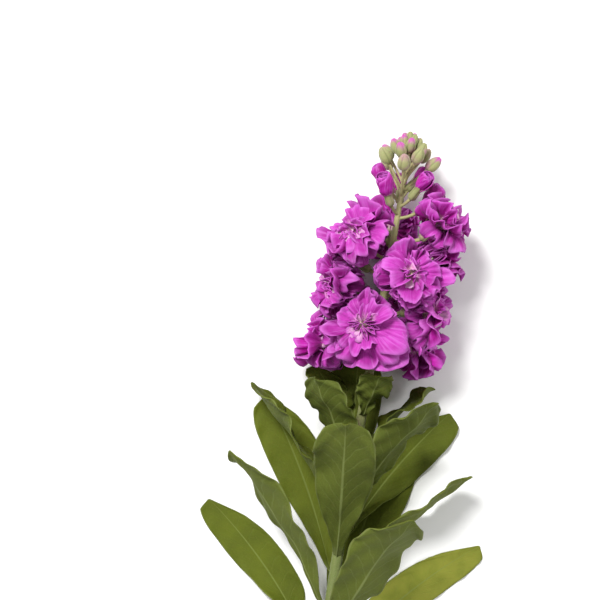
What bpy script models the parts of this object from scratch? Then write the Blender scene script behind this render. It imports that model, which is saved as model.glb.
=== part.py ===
"""One cut stem of double-flowered stock, lying on a table with its tip towards +Y.

The stem's cut end lies on the table and the line rises towards the flower head, which the florets
under it hold up. Leaves stand round the upper half of the stem and lie out along the table beneath it.
Every bloom keeps to a cell of its own, the room that its neighbours and the table leave it.
"""

import math
import random

import bmesh
import bpy
from mathutils import Matrix, Vector

MM = 0.001
TURN = 2 * math.pi
GOLDEN_ANGLE = math.radians(-137.5)
ALONG = Vector((0, 1, 0))
SEED = 11

# The stem: its line, and its radius at places along Y
CUT_END_Y = -250 * MM
TIP_Y = 240 * MM
STEM_RISE = 28 * MM
STEM_RISE_POWER = 1.35
STEM_SWAY = -5 * MM
STEM_SWAY_TURNS = 0.65
STEM_RADII = [
    (CUT_END_Y, 3.8 * MM),
    (-60 * MM, 3.4 * MM),
    (60 * MM, 2.9 * MM),
    (120 * MM, 2.4 * MM),
    (205 * MM, 1.5 * MM),
    (TIP_Y, 0.9 * MM),
]
STEM_SIDES = 8
STEM_RINGS = 16
TABLE_SNAP = 0.35 * MM
TABLE_PRESS = 1.2 * MM

# Open florets, given as (lowest floret, highest floret) where they change up the head
FLORET_COUNT = 13
FLORET_Y = (121 * MM, 186 * MM)
FIRST_AZIMUTH = math.radians(-100)
PARTING = math.radians(40)
FLORET_REACH = 22 * MM
FLORET_CLIMB = (5 * MM, 10 * MM)
FLORET_TILT = (math.radians(4), math.radians(38))
FLORET_TILT_SPREAD = math.radians(7)
FLORET_RADIUS = (31 * MM, 28 * MM)
FLORET_SIZE_SPREAD = 0.08
FLORET_MIDDLE = 0.25
HEAD_FOOT_Y = 110 * MM
UNDERSIDE_SQUEEZE = 0.60
CALYX_LENGTH = (12 * MM, 10 * MM)
CALYX_RADIUS = 2.5 * MM
CALYX_PROFILE = [(0.0, 0.41), (0.22, 0.95), (1.0, 0.85)]
CALYX_SIDES = 6
PEDICEL_RADIUS = 0.9 * MM
SEAT_GAP = 0.3 * MM

# A bloom's petal layers: rows, length over the bloom's radius, lean from the facing at root and at tip
PETAL_LAYERS = [
    (2, 1.00, math.radians(84), math.radians(102)),
    (2, 0.88, math.radians(60), math.radians(78)),
    (2, 0.66, math.radians(37), math.radians(55)),
    (1, 0.44, math.radians(14), math.radians(30)),
]
PETALS_ROUND = 6
PETAL_COLUMNS = 3
PETAL_REACH = (0.86, 1.06)
PETAL_EDGE = (0.95, 1.05)
PETAL_NOTCH = 0.74
PETAL_SHOULDER = 0.31
PETAL_TURN_SPREAD = 0.12
PETAL_RUFFLE = math.radians(7)
PETAL_RUFFLE_SHARE = (0.4, 1.3)
PETAL_THICKNESS = 0.75 * MM
HUB_RADIUS = 2.8 * MM
HUB_FOOT_RADIUS = 2.0 * MM
HUB_HEIGHT = 2.4 * MM

# The room that a bloom's neighbours leave it
CELL_FREE_SHARE = 0.75
CELL_CLEARANCE = 0.62 * MM
CELL_LEAST = 0.5 * MM
BACK_ROOM = 5 * MM
AXIS_ROOM = 5.5 * MM
AXIS_ROOM_LEAST = 2 * MM
SEPALS_TO_CLEAR = (0.25, 0.9)

# Buds that show colour, and the closed buds above them
OPENING_COUNT = 6
OPENING_Y = (199 * MM, 210 * MM)
OPENING_FIRST_AZIMUTH = math.radians(100)
OPENING_REACH = (15 * MM, 10 * MM)
OPENING_CLIMB = (11 * MM, 12 * MM)
OPENING_TILT = math.radians(52)
OPENING_LENGTH = (12.5 * MM, 9 * MM)
OPENING_RADIUS = (5.6 * MM, 3.6 * MM)
OPENING_PROFILE = [(0.0, 0.5), (0.25, 0.86), (0.6, 1.0), (0.86, 0.82), (1.0, 0.4)]
OPENING_SIDES = 9
OPENING_LOBES = 3
OPENING_LOBING = 0.22
OPENING_TWIST = math.radians(70)
OPENING_MIDDLE = 0.4
OPENING_CALYX = 9 * MM
CLOSED_COUNT = 22
CLOSED_Y = (211 * MM, 237 * MM)
CLOSED_PEDICEL = (20 * MM, 3 * MM)
CLOSED_LENGTH = (10.5 * MM, 7.5 * MM)
CLOSED_RADIUS = (3.7 * MM, 2.5 * MM)
CLOSED_PROFILE = [(0.0, 0.5), (0.3, 1.0), (0.75, 0.85), (1.0, 0.25)]
CLOSED_LEAN = (math.radians(44), math.radians(14))
CLOSED_STALK_RADIUS = 0.7 * MM

# Leaves, given as (top leaf, lowest leaf)
LEAF_COUNT = 16
LEAF_Y = (88 * MM, -62 * MM)
LEAF_FIRST_AZIMUTH = math.radians(14)
LEAF_LENGTH = [(0.0, 34 * MM), (0.27, 78 * MM), (0.5, 100 * MM), (1.0, 112 * MM)]
LEAF_HALF_WIDTH = [(0.0, 10 * MM), (0.3, 17 * MM), (1.0, 18 * MM)]
LEAF_ROOT_LEAN = [(0.0, math.radians(36)), (0.3, math.radians(30)), (1.0, math.radians(30))]
LEAF_TIP_LEAN = [(0.0, math.radians(50)), (0.3, math.radians(46)), (1.0, math.radians(54))]
LEAF_SIZE = (0.94, 1.06)
LEAF_PLACES = (0.0, 0.12, 0.26, 0.40, 0.54, 0.68, 0.81, 0.92, 1.0)
LEAF_PROFILE = [(0.0, 0.12), (0.12, 0.26), (0.40, 0.78), (0.62, 1.0), (0.81, 0.90), (0.92, 0.62), (1.0, 0.24)]
LEAF_COLUMNS = 4
LEAF_THICKNESS = 0.7 * MM
LEAF_ROOT_HALF_WIDTH = 2.0 * MM

# The wave of a leaf's two edges, which starts from nothing at the root, and the trough between them
LEAF_WAVE = 2.8 * MM
LEAF_WAVES = 2.2
LEAF_WAVE_OFFSET = 0.8
LEAF_WAVE_POWER = 1.5
LEAF_WAVE_START = 1 / 3
LEAF_TROUGH = 0.2

# Leaves that meet the table lie over one another in layers, the lowest leaves undermost
TABLE_SOFTNESS = 5 * MM
TABLE_LAYER = 0.95 * MM
LEAF_SETTLE_HEIGHT = 10 * MM
LEAF_PRESSED_FLAT = 0.8
LEAVES_PER_TABLE_LAYER = 3

SHARP_ANGLE = math.radians(40)
SLIVER = 0.03 * MM
STEM_COLOUR = (0.36, 0.38, 0.16, 1)
LEAF_COLOUR = (0.12, 0.15, 0.035, 1)
PETAL_COLOUR = (0.55, 0.045, 0.50, 1)
GREEN_ROUGHNESS = 0.6
PETAL_ROUGHNESS = 0.5


def mix(ends, share):
    """The value at a share of the way from the first of two ends to the second."""
    return ends[0] + (ends[1] - ends[0]) * share


def along_table(rows, place):
    """The value at a place in rows of (place, value), with straight stretches between them."""
    for (low, first), (high, second) in zip(rows, rows[1:]):
        if place <= high:
            return mix((first, second), max(0.0, (place - low) / (high - low)))
    return rows[-1][1]


def stem_point(y):
    """The stem's centre line at a place along Y."""
    share = (y - CUT_END_Y) / (TIP_Y - CUT_END_Y)
    sway = STEM_SWAY * math.sin(TURN * STEM_SWAY_TURNS * share)
    height = STEM_RADII[0][1] + STEM_RISE * max(0.0, share) ** STEM_RISE_POWER
    return Vector((sway, y, height))


def stem_direction(y):
    step = 1 * MM
    return (stem_point(y + step) - stem_point(y - step)).normalized()


def outward(azimuth):
    """The direction away from the stem: 0 faces up, off the table, and a quarter turn faces +X."""
    return Vector((math.sin(azimuth), 0, math.cos(azimuth)))


def pressed(direction):
    """A direction whose downward part the table has pushed back."""
    if direction.z < 0:
        direction = Vector((direction.x, direction.y, direction.z * UNDERSIDE_SQUEEZE))
    return direction


def basis_on(facing):
    """A matrix whose Z is the given direction and whose X lies across it."""
    side = facing.cross(ALONG)
    if side.length < 0.2:
        side = facing.cross(Vector((0, 0, 1)))
    side.normalize()
    return Matrix((side, facing.cross(side), facing)).transposed()


def tilted(away, tilt):
    """The direction away from the stem, off the table, turned up towards the stem's tip."""
    return (pressed(away).normalized() * math.cos(tilt) + ALONG * math.sin(tilt)).normalized()


def plan_florets():
    """The open florets' hubs, facings and sizes, spiralling up the head. The upper ones part in front."""
    draw = random.Random(SEED)
    florets = []
    for i in range(FLORET_COUNT):
        share = i / (FLORET_COUNT - 1)
        azimuth = FIRST_AZIMUTH + i * GOLDEN_ANGLE
        azimuth += PARTING * share * math.sin(azimuth) * max(0, math.cos(azimuth))
        away = outward(azimuth)
        root_y = mix(FLORET_Y, share)
        hub = stem_point(root_y + mix(FLORET_CLIMB, share)) + pressed(away) * FLORET_REACH
        facing = tilted(away, mix(FLORET_TILT, share) + draw.uniform(-1, 1) * FLORET_TILT_SPREAD)
        radius = mix(FLORET_RADIUS, share) * (1 + draw.uniform(-1, 1) * FLORET_SIZE_SPREAD)
        florets.append({
            "name": f"floret_{i + 1:02d}", "root_y": root_y, "hub": hub, "facing": facing, "away": away,
            "radius": radius, "calyx": mix(CALYX_LENGTH, share),
            "middle": hub + facing * radius * FLORET_MIDDLE,
            "heart": hub + facing * (SEAT_GAP + HUB_HEIGHT), "turn": draw.uniform(0, TURN),
        })
    return florets


def plan_opening_buds():
    """The buds whose petals show above the sepals."""
    buds = []
    for i in range(OPENING_COUNT):
        share = i / (OPENING_COUNT - 1)
        away = outward(OPENING_FIRST_AZIMUTH + i * GOLDEN_ANGLE)
        root_y = mix(OPENING_Y, share)
        hub = stem_point(root_y + mix(OPENING_CLIMB, share)) + pressed(away) * mix(OPENING_REACH, share)
        facing = tilted(away, OPENING_TILT)
        length = mix(OPENING_LENGTH, share)
        buds.append({
            "name": f"opening_bud_{i + 1:02d}", "root_y": root_y, "hub": hub, "facing": facing,
            "radius": mix(OPENING_RADIUS, share), "length": length, "calyx": OPENING_CALYX,
            "middle": hub + facing * length * OPENING_MIDDLE,
        })
    return buds


def plan_closed_buds():
    """The green buds at the tip, whose stalks shorten so that they end at about one height."""
    buds = []
    for i in range(CLOSED_COUNT):
        share = i / (CLOSED_COUNT - 1)
        away = outward(OPENING_FIRST_AZIMUTH + (OPENING_COUNT + i) * GOLDEN_ANGLE)
        lean = mix(CLOSED_LEAN, share)
        facing = (away * math.sin(lean) + ALONG * math.cos(lean)).normalized()
        root = stem_point(mix(CLOSED_Y, share))
        buds.append({
            "root": root, "foot": root + facing * mix(CLOSED_PEDICEL, share), "facing": facing,
            "length": mix(CLOSED_LENGTH, share), "radius": mix(CLOSED_RADIUS, share),
        })
    return buds


def cell_walls(bloom, blooms):
    """The walls of a bloom's cell, as (normal, distance from its heart): neighbours, stem and table."""
    heart = bloom["heart"]
    walls = [(Vector((0, 0, -1)), heart.z - PETAL_THICKNESS / 2 + TABLE_PRESS)]
    walls.append((-ALONG, heart.y - HEAD_FOOT_Y))
    walls.append((-bloom["facing"], BACK_ROOM))
    from_stem = (heart - stem_point(heart.y)).dot(bloom["away"])
    walls.append((-bloom["away"], max(AXIS_ROOM_LEAST, from_stem - AXIS_ROOM)))
    for other in blooms:
        if other is bloom:
            continue
        across = other["middle"] - bloom["middle"]
        share = bloom["radius"] / (bloom["radius"] + other["radius"])
        normal = across.normalized()
        between = bloom["middle"] + across * share
        walls.append((normal, (between - heart).dot(normal) - CELL_CLEARANCE))
        for back in SEPALS_TO_CLEAR:
            sepals = other["hub"] - other["facing"] * other["calyx"] * back
            normal = (sepals - bloom["middle"]).normalized()
            room = (sepals - heart).dot(normal) - CALYX_RADIUS - CELL_CLEARANCE
            if room > HUB_RADIUS:
                walls.append((normal, room))
    return walls


def room_towards(direction, walls):
    """How far a bloom may reach from its heart in a direction before it meets a wall of its cell."""
    limits = [distance / normal.dot(direction) for normal, distance in walls if normal.dot(direction) > 0]
    return max(CELL_LEAST, min(limits, default=math.inf))


def softened(reach, limit):
    """A reach that stays the same well inside a limit and draws up to it from below beyond that."""
    free = limit * CELL_FREE_SHARE
    if reach > free:
        rest = limit - free
        reach = free + rest * (1 - math.exp(-(reach - free) / rest))
    return reach


def eased_onto(floor, height):
    """A height that the surface at the floor has pushed back, softly above it and flat on it."""
    if height > floor + TABLE_SOFTNESS:
        return height
    depth = TABLE_SOFTNESS + TABLE_PRESS
    return max(floor, floor - TABLE_PRESS + depth * math.exp((height - floor - TABLE_SOFTNESS) / depth))


def object_from(name, mesh_builder, collection=None):
    mesh = bpy.data.meshes.new(name)
    mesh_builder.normal_update()
    mesh_builder.to_mesh(mesh)
    mesh_builder.free()
    made = bpy.data.objects.new(name, mesh)
    (collection or bpy.context.scene.collection).objects.link(made)
    return made


def gridded(name, rings, turned_bands=(), collection=None):
    """A closed mesh through rings of points, flat at both ends. Turned bands are split the other way."""
    bm = bmesh.new()
    columns, bands = len(rings[0]), len(rings) - 1
    bmesh.ops.create_grid(bm, x_segments=columns, y_segments=bands, size=1)
    turned = [face for face in bm.faces if int((face.calc_center_median().y + 1) / 2 * bands) in turned_bands]
    bmesh.ops.triangulate(bm, faces=turned, quad_method="ALTERNATE")
    bmesh.ops.triangulate(bm, faces=bm.faces[:], quad_method="FIXED")
    for vertex in bm.verts:
        column = round((vertex.co.x + 1) / 2 * columns)
        ring = round((vertex.co.y + 1) / 2 * bands)
        vertex.co = rings[ring][column % columns]
    bmesh.ops.remove_doubles(bm, verts=bm.verts[:], dist=1e-8)
    bmesh.ops.holes_fill(bm, edges=bm.edges[:], sides=0)
    bmesh.ops.triangulate(bm, faces=bm.faces[:])
    bmesh.ops.recalc_face_normals(bm, faces=bm.faces[:])
    return object_from(name, bm, collection)


def ring_points(centre, direction, radius, sides, start=0):
    matrix = basis_on(direction)
    turns = [start + TURN * k / sides for k in range(sides)]
    return [centre + matrix @ Vector((math.cos(turn), math.sin(turn), 0)) * radius for turn in turns]


def lofted(name, sections, sides, collection=None):
    """A round body through sections of (centre, direction, radius), closed at both ends."""
    return gridded(name, [ring_points(*section, sides) for section in sections], (), collection)


def skins(rings, thickness):
    """The lower and the upper skin of a ring of petals, from the rings of points along its middle."""
    lower, upper = [], []
    for i, ring in enumerate(rings):
        before, after = rings[max(0, i - 1)], rings[min(len(rings) - 1, i + 1)]
        lower.append([])
        upper.append([])
        for k, point in enumerate(ring):
            normal = (after[k] - before[k]).cross(ring[(k + 1) % len(ring)] - ring[k - 1]).normalized()
            lower[-1].append(point - normal * thickness / 2)
            upper[-1].append(point + normal * thickness / 2)
    return lower, upper


def applied(made):
    """The object with its modifiers turned into plain mesh."""
    graph = bpy.context.evaluated_depsgraph_get()
    mesh = bpy.data.meshes.new_from_object(made.evaluated_get(graph))
    made.modifiers.clear()
    made.data = mesh
    return made


def keep_main_shell(made):
    """Drops slivers, loose scraps and the walls of sealed hollows, which leaves the hollows filled."""
    bm = bmesh.new()
    bm.from_mesh(made.data)
    bmesh.ops.dissolve_degenerate(bm, edges=bm.edges[:], dist=SLIVER)
    bmesh.ops.triangulate(bm, faces=bm.faces[:])
    left = set(bm.faces)
    shells = []
    while left:
        shell = [left.pop()]
        for face in shell:
            for edge in face.edges:
                for other in edge.link_faces:
                    if other in left:
                        left.remove(other)
                        shell.append(other)
        shells.append(shell)
    shells.sort(key=len)
    for shell in shells[:-1]:
        bmesh.ops.delete(bm, geom=shell, context="FACES")
    bm.to_mesh(made.data)
    bm.free()


def fused(body, collection):
    """The body joined with everything in the collection, which is then removed."""
    union = body.modifiers.new("fuse", "BOOLEAN")
    union.operation = "UNION"
    union.operand_type = "COLLECTION"
    union.collection = collection
    applied(body)
    for member in list(collection.objects):
        bpy.data.objects.remove(member)
    bpy.data.collections.remove(collection)
    keep_main_shell(body)
    return body


def new_collection(name):
    collection = bpy.data.collections.new(name)
    bpy.context.scene.collection.children.link(collection)
    return collection


def set_on_table(made):
    """Lowers the points that all but touch the table on to it, as small flat spots."""
    for vertex in made.data.vertices:
        if vertex.co.z < TABLE_SNAP:
            vertex.co.z = 0
    return made


def petal_layer(bloom, walls, layer, draw):
    """Rings of points along the middle of one layer of petals, notched between the petals."""
    rows, length_share, root_lean, tip_lean = PETAL_LAYERS[layer]
    columns = PETALS_ROUND * PETAL_COLUMNS
    length = bloom["radius"] * length_share
    petal_reaches = [draw.uniform(*PETAL_REACH) for _ in range(PETALS_ROUND)]
    reaches, ruffles, turns = [], [], []
    for k in range(columns):
        place_in_petal = (k + layer) % PETAL_COLUMNS
        petal_reach = petal_reaches[(k + layer) // PETAL_COLUMNS % PETALS_ROUND]
        reaches.append(petal_reach * (PETAL_NOTCH if place_in_petal == 0 else draw.uniform(*PETAL_EDGE)))
        ruffles.append((0, 1, -1)[place_in_petal] * PETAL_RUFFLE * draw.uniform(*PETAL_RUFFLE_SHARE))
        spread_out = (0, -1, 1)[place_in_petal] * PETAL_SHOULDER
        turns.append(spread_out + draw.uniform(-1, 1) * PETAL_TURN_SPREAD)
    matrix = basis_on(bloom["facing"])

    def direction(k, u):
        lean = mix((root_lean, tip_lean), u) + ruffles[k] * u
        turn = bloom["turn"] + TURN * (k + turns[k] * u) / columns
        across = math.sin(lean)
        return matrix @ Vector((across * math.cos(turn), across * math.sin(turn), math.cos(lean)))

    tips = [softened(length * reaches[k], room_towards(direction(k, 1), walls)) for k in range(columns)]
    rings = []
    for row in range(rows + 1):
        u = row / rows
        ring = []
        for k in range(columns):
            reach = min(mix((HUB_RADIUS, tips[k]), u), room_towards(direction(k, u), walls))
            point = bloom["heart"] + direction(k, u) * reach
            point.z = max(point.z, PETAL_THICKNESS / 2)
            ring.append(point)
        rings.append(ring)
    return rings


def make_floret(bloom, blooms):
    """One open double bloom: rings of petals, one in another, in one skin with the hub they grow from."""
    draw = random.Random(bloom["name"])
    walls = cell_walls(bloom, blooms)
    foot = bloom["hub"] + bloom["facing"] * SEAT_GAP
    columns = PETALS_ROUND * PETAL_COLUMNS
    rings = [ring_points(foot, bloom["facing"], HUB_FOOT_RADIUS, columns, bloom["turn"])]
    turned_bands = set()
    for layer in range(len(PETAL_LAYERS)):
        lower, upper = skins(petal_layer(bloom, walls, layer, draw), PETAL_THICKNESS)
        rings += lower + upper[::-1]
        turned_bands.update(range(len(rings) - len(upper), len(rings) - 1))
    return set_on_table(gridded(bloom["name"], rings, turned_bands))


def make_opening_bud(bud):
    """Furled petals, lobed and lightly twisted, standing out of their sepals."""
    foot = bud["hub"] + bud["facing"] * SEAT_GAP
    matrix = basis_on(bud["facing"])
    rings = []
    for height, width in OPENING_PROFILE:
        ring = []
        for k in range(OPENING_SIDES):
            turn = TURN * k / OPENING_SIDES
            lobed = 1 + OPENING_LOBING * height * math.cos(OPENING_LOBES * turn + OPENING_TWIST * height)
            spread = Vector((math.cos(turn), math.sin(turn), 0)) * bud["radius"] * width * lobed
            ring.append(foot + matrix @ (spread + Vector((0, 0, bud["length"] * height))))
        rings.append(ring)
    return set_on_table(gridded(bud["name"], rings))


def stalk_with_sepals(name, bloom, collection):
    """A pedicel from the stem and the sepal tube on it, up to the seat of the petals."""
    root, facing = stem_point(bloom["root_y"]), bloom["facing"]
    foot = bloom["hub"] - facing * bloom["calyx"]
    sections = [(root, (foot - root).normalized(), PEDICEL_RADIUS)]
    for height, width in CALYX_PROFILE:
        sections.append((foot + facing * bloom["calyx"] * height, facing, CALYX_RADIUS * width))
    return lofted(name, sections, CALYX_SIDES, collection)


def closed_bud(name, bud, collection):
    """A green bud on its pedicel."""
    root, foot, facing = bud["root"], bud["foot"], bud["facing"]
    sections = [(root, facing, CLOSED_STALK_RADIUS)]
    for height, width in CLOSED_PROFILE:
        sections.append((foot + facing * bud["length"] * height, facing, bud["radius"] * width))
    return lofted(name, sections, CALYX_SIDES, collection)


def make_stem(blooms, closed_buds):
    """The stem with every pedicel, sepal tube and green bud that grows from it."""
    sections = []
    for k in range(STEM_RINGS):
        y = mix((CUT_END_Y, TIP_Y), k / (STEM_RINGS - 1))
        sections.append((stem_point(y), ALONG if k == 0 else stem_direction(y), along_table(STEM_RADII, y)))
    body = lofted("stem", sections, STEM_SIDES)
    grown = new_collection("grown_from_stem")
    for i, bloom in enumerate(blooms):
        stalk_with_sepals(f"stalk_{i}", bloom, grown)
    for i, bud in enumerate(closed_buds):
        closed_bud(f"bud_{i}", bud, grown)
    return set_on_table(fused(body, grown))


def leaf_root(index):
    """Where a leaf's middle starts, just off the stem."""
    root_y = mix(LEAF_Y, index / (LEAF_COUNT - 1))
    away = outward(LEAF_FIRST_AZIMUTH + index * GOLDEN_ANGLE)
    return stem_point(root_y) + away * (along_table(STEM_RADII, root_y) + SEAT_GAP + LEAF_THICKNESS)


def leaf_line(index, length, floor):
    """The middle line of a leaf, which leans out from the stem and bends where it meets the table."""
    share = index / (LEAF_COUNT - 1)
    away = outward(LEAF_FIRST_AZIMUTH + index * GOLDEN_ANGLE)
    leans = (along_table(LEAF_ROOT_LEAN, share), along_table(LEAF_TIP_LEAN, share))
    line = [leaf_root(index)]
    for before, u in zip(LEAF_PLACES, LEAF_PLACES[1:]):
        lean = mix(leans, u)
        step = (ALONG * math.cos(lean) + away * math.sin(lean)) * length * (u - before)
        ahead = line[-1] + step
        ahead.z = eased_onto(floor, ahead.z)
        line.append(line[-1] + (ahead - line[-1]).normalized() * step.length)
    return line


def leaf_rows(index, order_on_table):
    """Rows of points along the middle of one leaf, turned flat and bent clear where it meets the table."""
    draw = random.Random(SEED + index)
    share = index / (LEAF_COUNT - 1)
    side = outward(LEAF_FIRST_AZIMUTH + index * GOLDEN_ANGLE).cross(ALONG)
    length = along_table(LEAF_LENGTH, share) * draw.uniform(*LEAF_SIZE)
    half_width = along_table(LEAF_HALF_WIDTH, share) * draw.uniform(*LEAF_SIZE)
    phase = draw.uniform(0, TURN)
    floor = LEAF_THICKNESS / 2 + TABLE_LAYER * order_on_table
    line = leaf_line(index, length, floor)
    rows = []
    for i, u in enumerate(LEAF_PLACES):
        tangent = line[min(i + 1, len(line) - 1)] - line[max(i - 1, 0)]
        settled = max(0, 1 - max(0, line[i].z - floor) / LEAF_SETTLE_HEIGHT) * min(1, u / LEAF_WAVE_START)
        across = Vector((side.x, side.y, side.z * (1 - settled))).normalized()
        up = tangent.cross(across).normalized()
        half = max(LEAF_ROOT_HALF_WIDTH, half_width * along_table(LEAF_PROFILE, u))
        row = []
        for k in range(LEAF_COLUMNS + 1):
            v = 2 * k / LEAF_COLUMNS - 1
            wave = LEAF_WAVE * math.sin(TURN * LEAF_WAVES * u + phase + (LEAF_WAVE_OFFSET if v < 0 else 0))
            grown = min(1, u / LEAF_WAVE_START)
            lift = wave * abs(v) ** LEAF_WAVE_POWER * grown - LEAF_TROUGH * half * abs(v)
            point = line[i] + across * (v * half) + up * lift * (1 - LEAF_PRESSED_FLAT * settled)
            point.z = mix((eased_onto(floor, point.z), floor), settled ** 2)
            row.append(point)
        rows.append(row)
    return rows


def make_leaf(index, order_on_table):
    """One leaf, thickened evenly from its middle so that both faces are split alike."""
    rows = leaf_rows(index, order_on_table)
    bm = bmesh.new()
    bmesh.ops.create_grid(bm, x_segments=LEAF_COLUMNS, y_segments=len(rows) - 1, size=1)
    for vertex in bm.verts:
        row = rows[round((vertex.co.y + 1) / 2 * (len(rows) - 1))]
        vertex.co = row[round((vertex.co.x + 1) / 2 * LEAF_COLUMNS)]
    bmesh.ops.triangulate(bm, faces=bm.faces[:], quad_method="FIXED")
    made = object_from(f"leaf_{index + 1:02d}", bm)
    thicken = made.modifiers.new("thickness", "SOLIDIFY")
    thicken.thickness = LEAF_THICKNESS
    thicken.offset = 0
    thicken.use_even_offset = True
    return set_on_table(applied(made))


def material(name, colour, roughness):
    made = bpy.data.materials.new(name)
    made.use_nodes = True
    shader = made.node_tree.nodes["Principled BSDF"]
    shader.inputs["Base Color"].default_value = colour
    shader.inputs["Roughness"].default_value = roughness
    shader.inputs["Metallic"].default_value = 0
    return made


def finish(made, look, origin):
    """Gives a node its material and shading, and its origin at a point of its own."""
    made.data.transform(Matrix.Translation(-origin))
    made.location = origin
    made.data.materials.clear()
    made.data.materials.append(look)
    made.data.shade_smooth()
    made.data.set_sharp_from_angle(angle=SHARP_ANGLE)


def centre_on_table():
    """Moves every node alike, so that the whole object's box stands centred over the row's origin."""
    nodes = list(bpy.context.scene.objects)
    points = [made.location + vertex.co for made in nodes for vertex in made.data.vertices]
    lows = [min(point[axis] for point in points) for axis in range(3)]
    highs = [max(point[axis] for point in points) for axis in range(3)]
    shift = Vector(((lows[0] + highs[0]) / 2, (lows[1] + highs[1]) / 2, lows[2]))
    for made in nodes:
        made.location -= shift


def main():
    for old in list(bpy.data.objects):
        bpy.data.objects.remove(old)
    florets = plan_florets()
    opening_buds = plan_opening_buds()
    blooms = florets + opening_buds
    green = material("stem_green", STEM_COLOUR, GREEN_ROUGHNESS)
    leaf_green = material("leaf_green", LEAF_COLOUR, GREEN_ROUGHNESS)
    magenta = material("petal_magenta", PETAL_COLOUR, PETAL_ROUGHNESS)
    finish(make_stem(blooms, plan_closed_buds()), green, stem_point(CUT_END_Y))
    for bloom in florets:
        finish(make_floret(bloom, blooms), magenta, bloom["hub"])
    for bud in opening_buds:
        finish(make_opening_bud(bud), magenta, bud["hub"])
    for index in range(LEAF_COUNT):
        leaf = make_leaf(index, (LEAF_COUNT - 1 - index) // LEAVES_PER_TABLE_LAYER)
        finish(leaf, leaf_green, leaf_root(index))
    centre_on_table()


main()
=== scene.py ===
"""The looks of one cut stem of double-flowered stock, lying on a pale table.

The plan of the stem, the blooms, the buds and the leaves is the one that the solids follow, with the
same dimensions and seeds. Each solid is replaced by thin ruffled petals, waved and veined leaves, or a
felted stem with its sepals and buds, made in the solids' own plan and then moved to where they stand.
"""

import math
import random

import bmesh
import bpy
from mathutils import Matrix, Vector


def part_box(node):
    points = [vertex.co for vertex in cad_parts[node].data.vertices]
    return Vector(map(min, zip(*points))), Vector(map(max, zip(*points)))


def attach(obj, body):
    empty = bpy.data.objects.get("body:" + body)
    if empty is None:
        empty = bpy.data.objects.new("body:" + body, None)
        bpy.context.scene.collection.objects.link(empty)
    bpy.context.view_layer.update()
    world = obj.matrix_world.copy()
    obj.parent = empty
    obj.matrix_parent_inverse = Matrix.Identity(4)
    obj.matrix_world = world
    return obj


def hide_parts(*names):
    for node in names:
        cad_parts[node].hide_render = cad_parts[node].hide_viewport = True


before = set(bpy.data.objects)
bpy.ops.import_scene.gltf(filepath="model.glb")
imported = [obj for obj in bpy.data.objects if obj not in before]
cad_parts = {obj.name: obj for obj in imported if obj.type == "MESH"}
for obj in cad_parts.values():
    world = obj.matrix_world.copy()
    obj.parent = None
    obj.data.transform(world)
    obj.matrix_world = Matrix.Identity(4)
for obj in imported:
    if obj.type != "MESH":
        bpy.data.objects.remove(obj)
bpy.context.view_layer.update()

MM = 0.001
TURN = 2 * math.pi
GOLDEN_ANGLE = math.radians(-137.5)
ALONG = Vector((0, 1, 0))
SEED = 11

# The stem: its line, and its radius at places along Y
CUT_END_Y = -250 * MM
TIP_Y = 240 * MM
STEM_RISE = 28 * MM
STEM_RISE_POWER = 1.35
STEM_SWAY = -5 * MM
STEM_SWAY_TURNS = 0.65
STEM_RADII = [
    (CUT_END_Y, 3.8 * MM),
    (-60 * MM, 3.4 * MM),
    (60 * MM, 2.9 * MM),
    (120 * MM, 2.4 * MM),
    (205 * MM, 1.5 * MM),
    (TIP_Y, 0.9 * MM),
]
STEM_SIDES = 24
STEM_RING_STEP = 1.4 * MM
STEM_RIBS = 7
STEM_RIB_DEPTH = 0.035
STEM_RIB_TWIST = 9
TABLE_PRESS = 1.2 * MM

# Open florets, given as (lowest floret, highest floret) where they change up the head
FLORET_COUNT = 13
FLORET_Y = (121 * MM, 186 * MM)
FIRST_AZIMUTH = math.radians(-100)
PARTING = math.radians(40)
FLORET_REACH = 22 * MM
FLORET_CLIMB = (5 * MM, 10 * MM)
FLORET_TILT = (math.radians(4), math.radians(38))
FLORET_TILT_SPREAD = math.radians(7)
FLORET_RADIUS = (31 * MM, 28 * MM)
FLORET_SIZE_SPREAD = 0.08
FLORET_MIDDLE = 0.25
HEAD_FOOT_Y = 110 * MM
UNDERSIDE_SQUEEZE = 0.60
CALYX_LENGTH = (12 * MM, 10 * MM)
CALYX_RADIUS = 2.5 * MM
PEDICEL_RADIUS = 0.9 * MM
SEAT_GAP = 0.3 * MM
HUB_RADIUS = 2.8 * MM
HUB_HEIGHT = 2.4 * MM

# A bloom's petal layers: length over the bloom's radius, lean from the facing at root and at tip
PETAL_LAYERS = [
    (1.00, math.radians(84), math.radians(102)),
    (0.88, math.radians(60), math.radians(78)),
    (0.66, math.radians(38), math.radians(58)),
    (0.44, math.radians(18), math.radians(42)),
]
PETALS_ROUND = 6
PETAL_COLUMNS = 3
PETAL_REACH = (0.86, 1.06)
PETAL_EDGE = (0.95, 1.05)
PETAL_TURN_SPREAD = 0.12
PETAL_RUFFLE = math.radians(7)
PETAL_RUFFLE_SHARE = (0.4, 1.3)
PETAL_LIFT = 0.4 * MM

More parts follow.
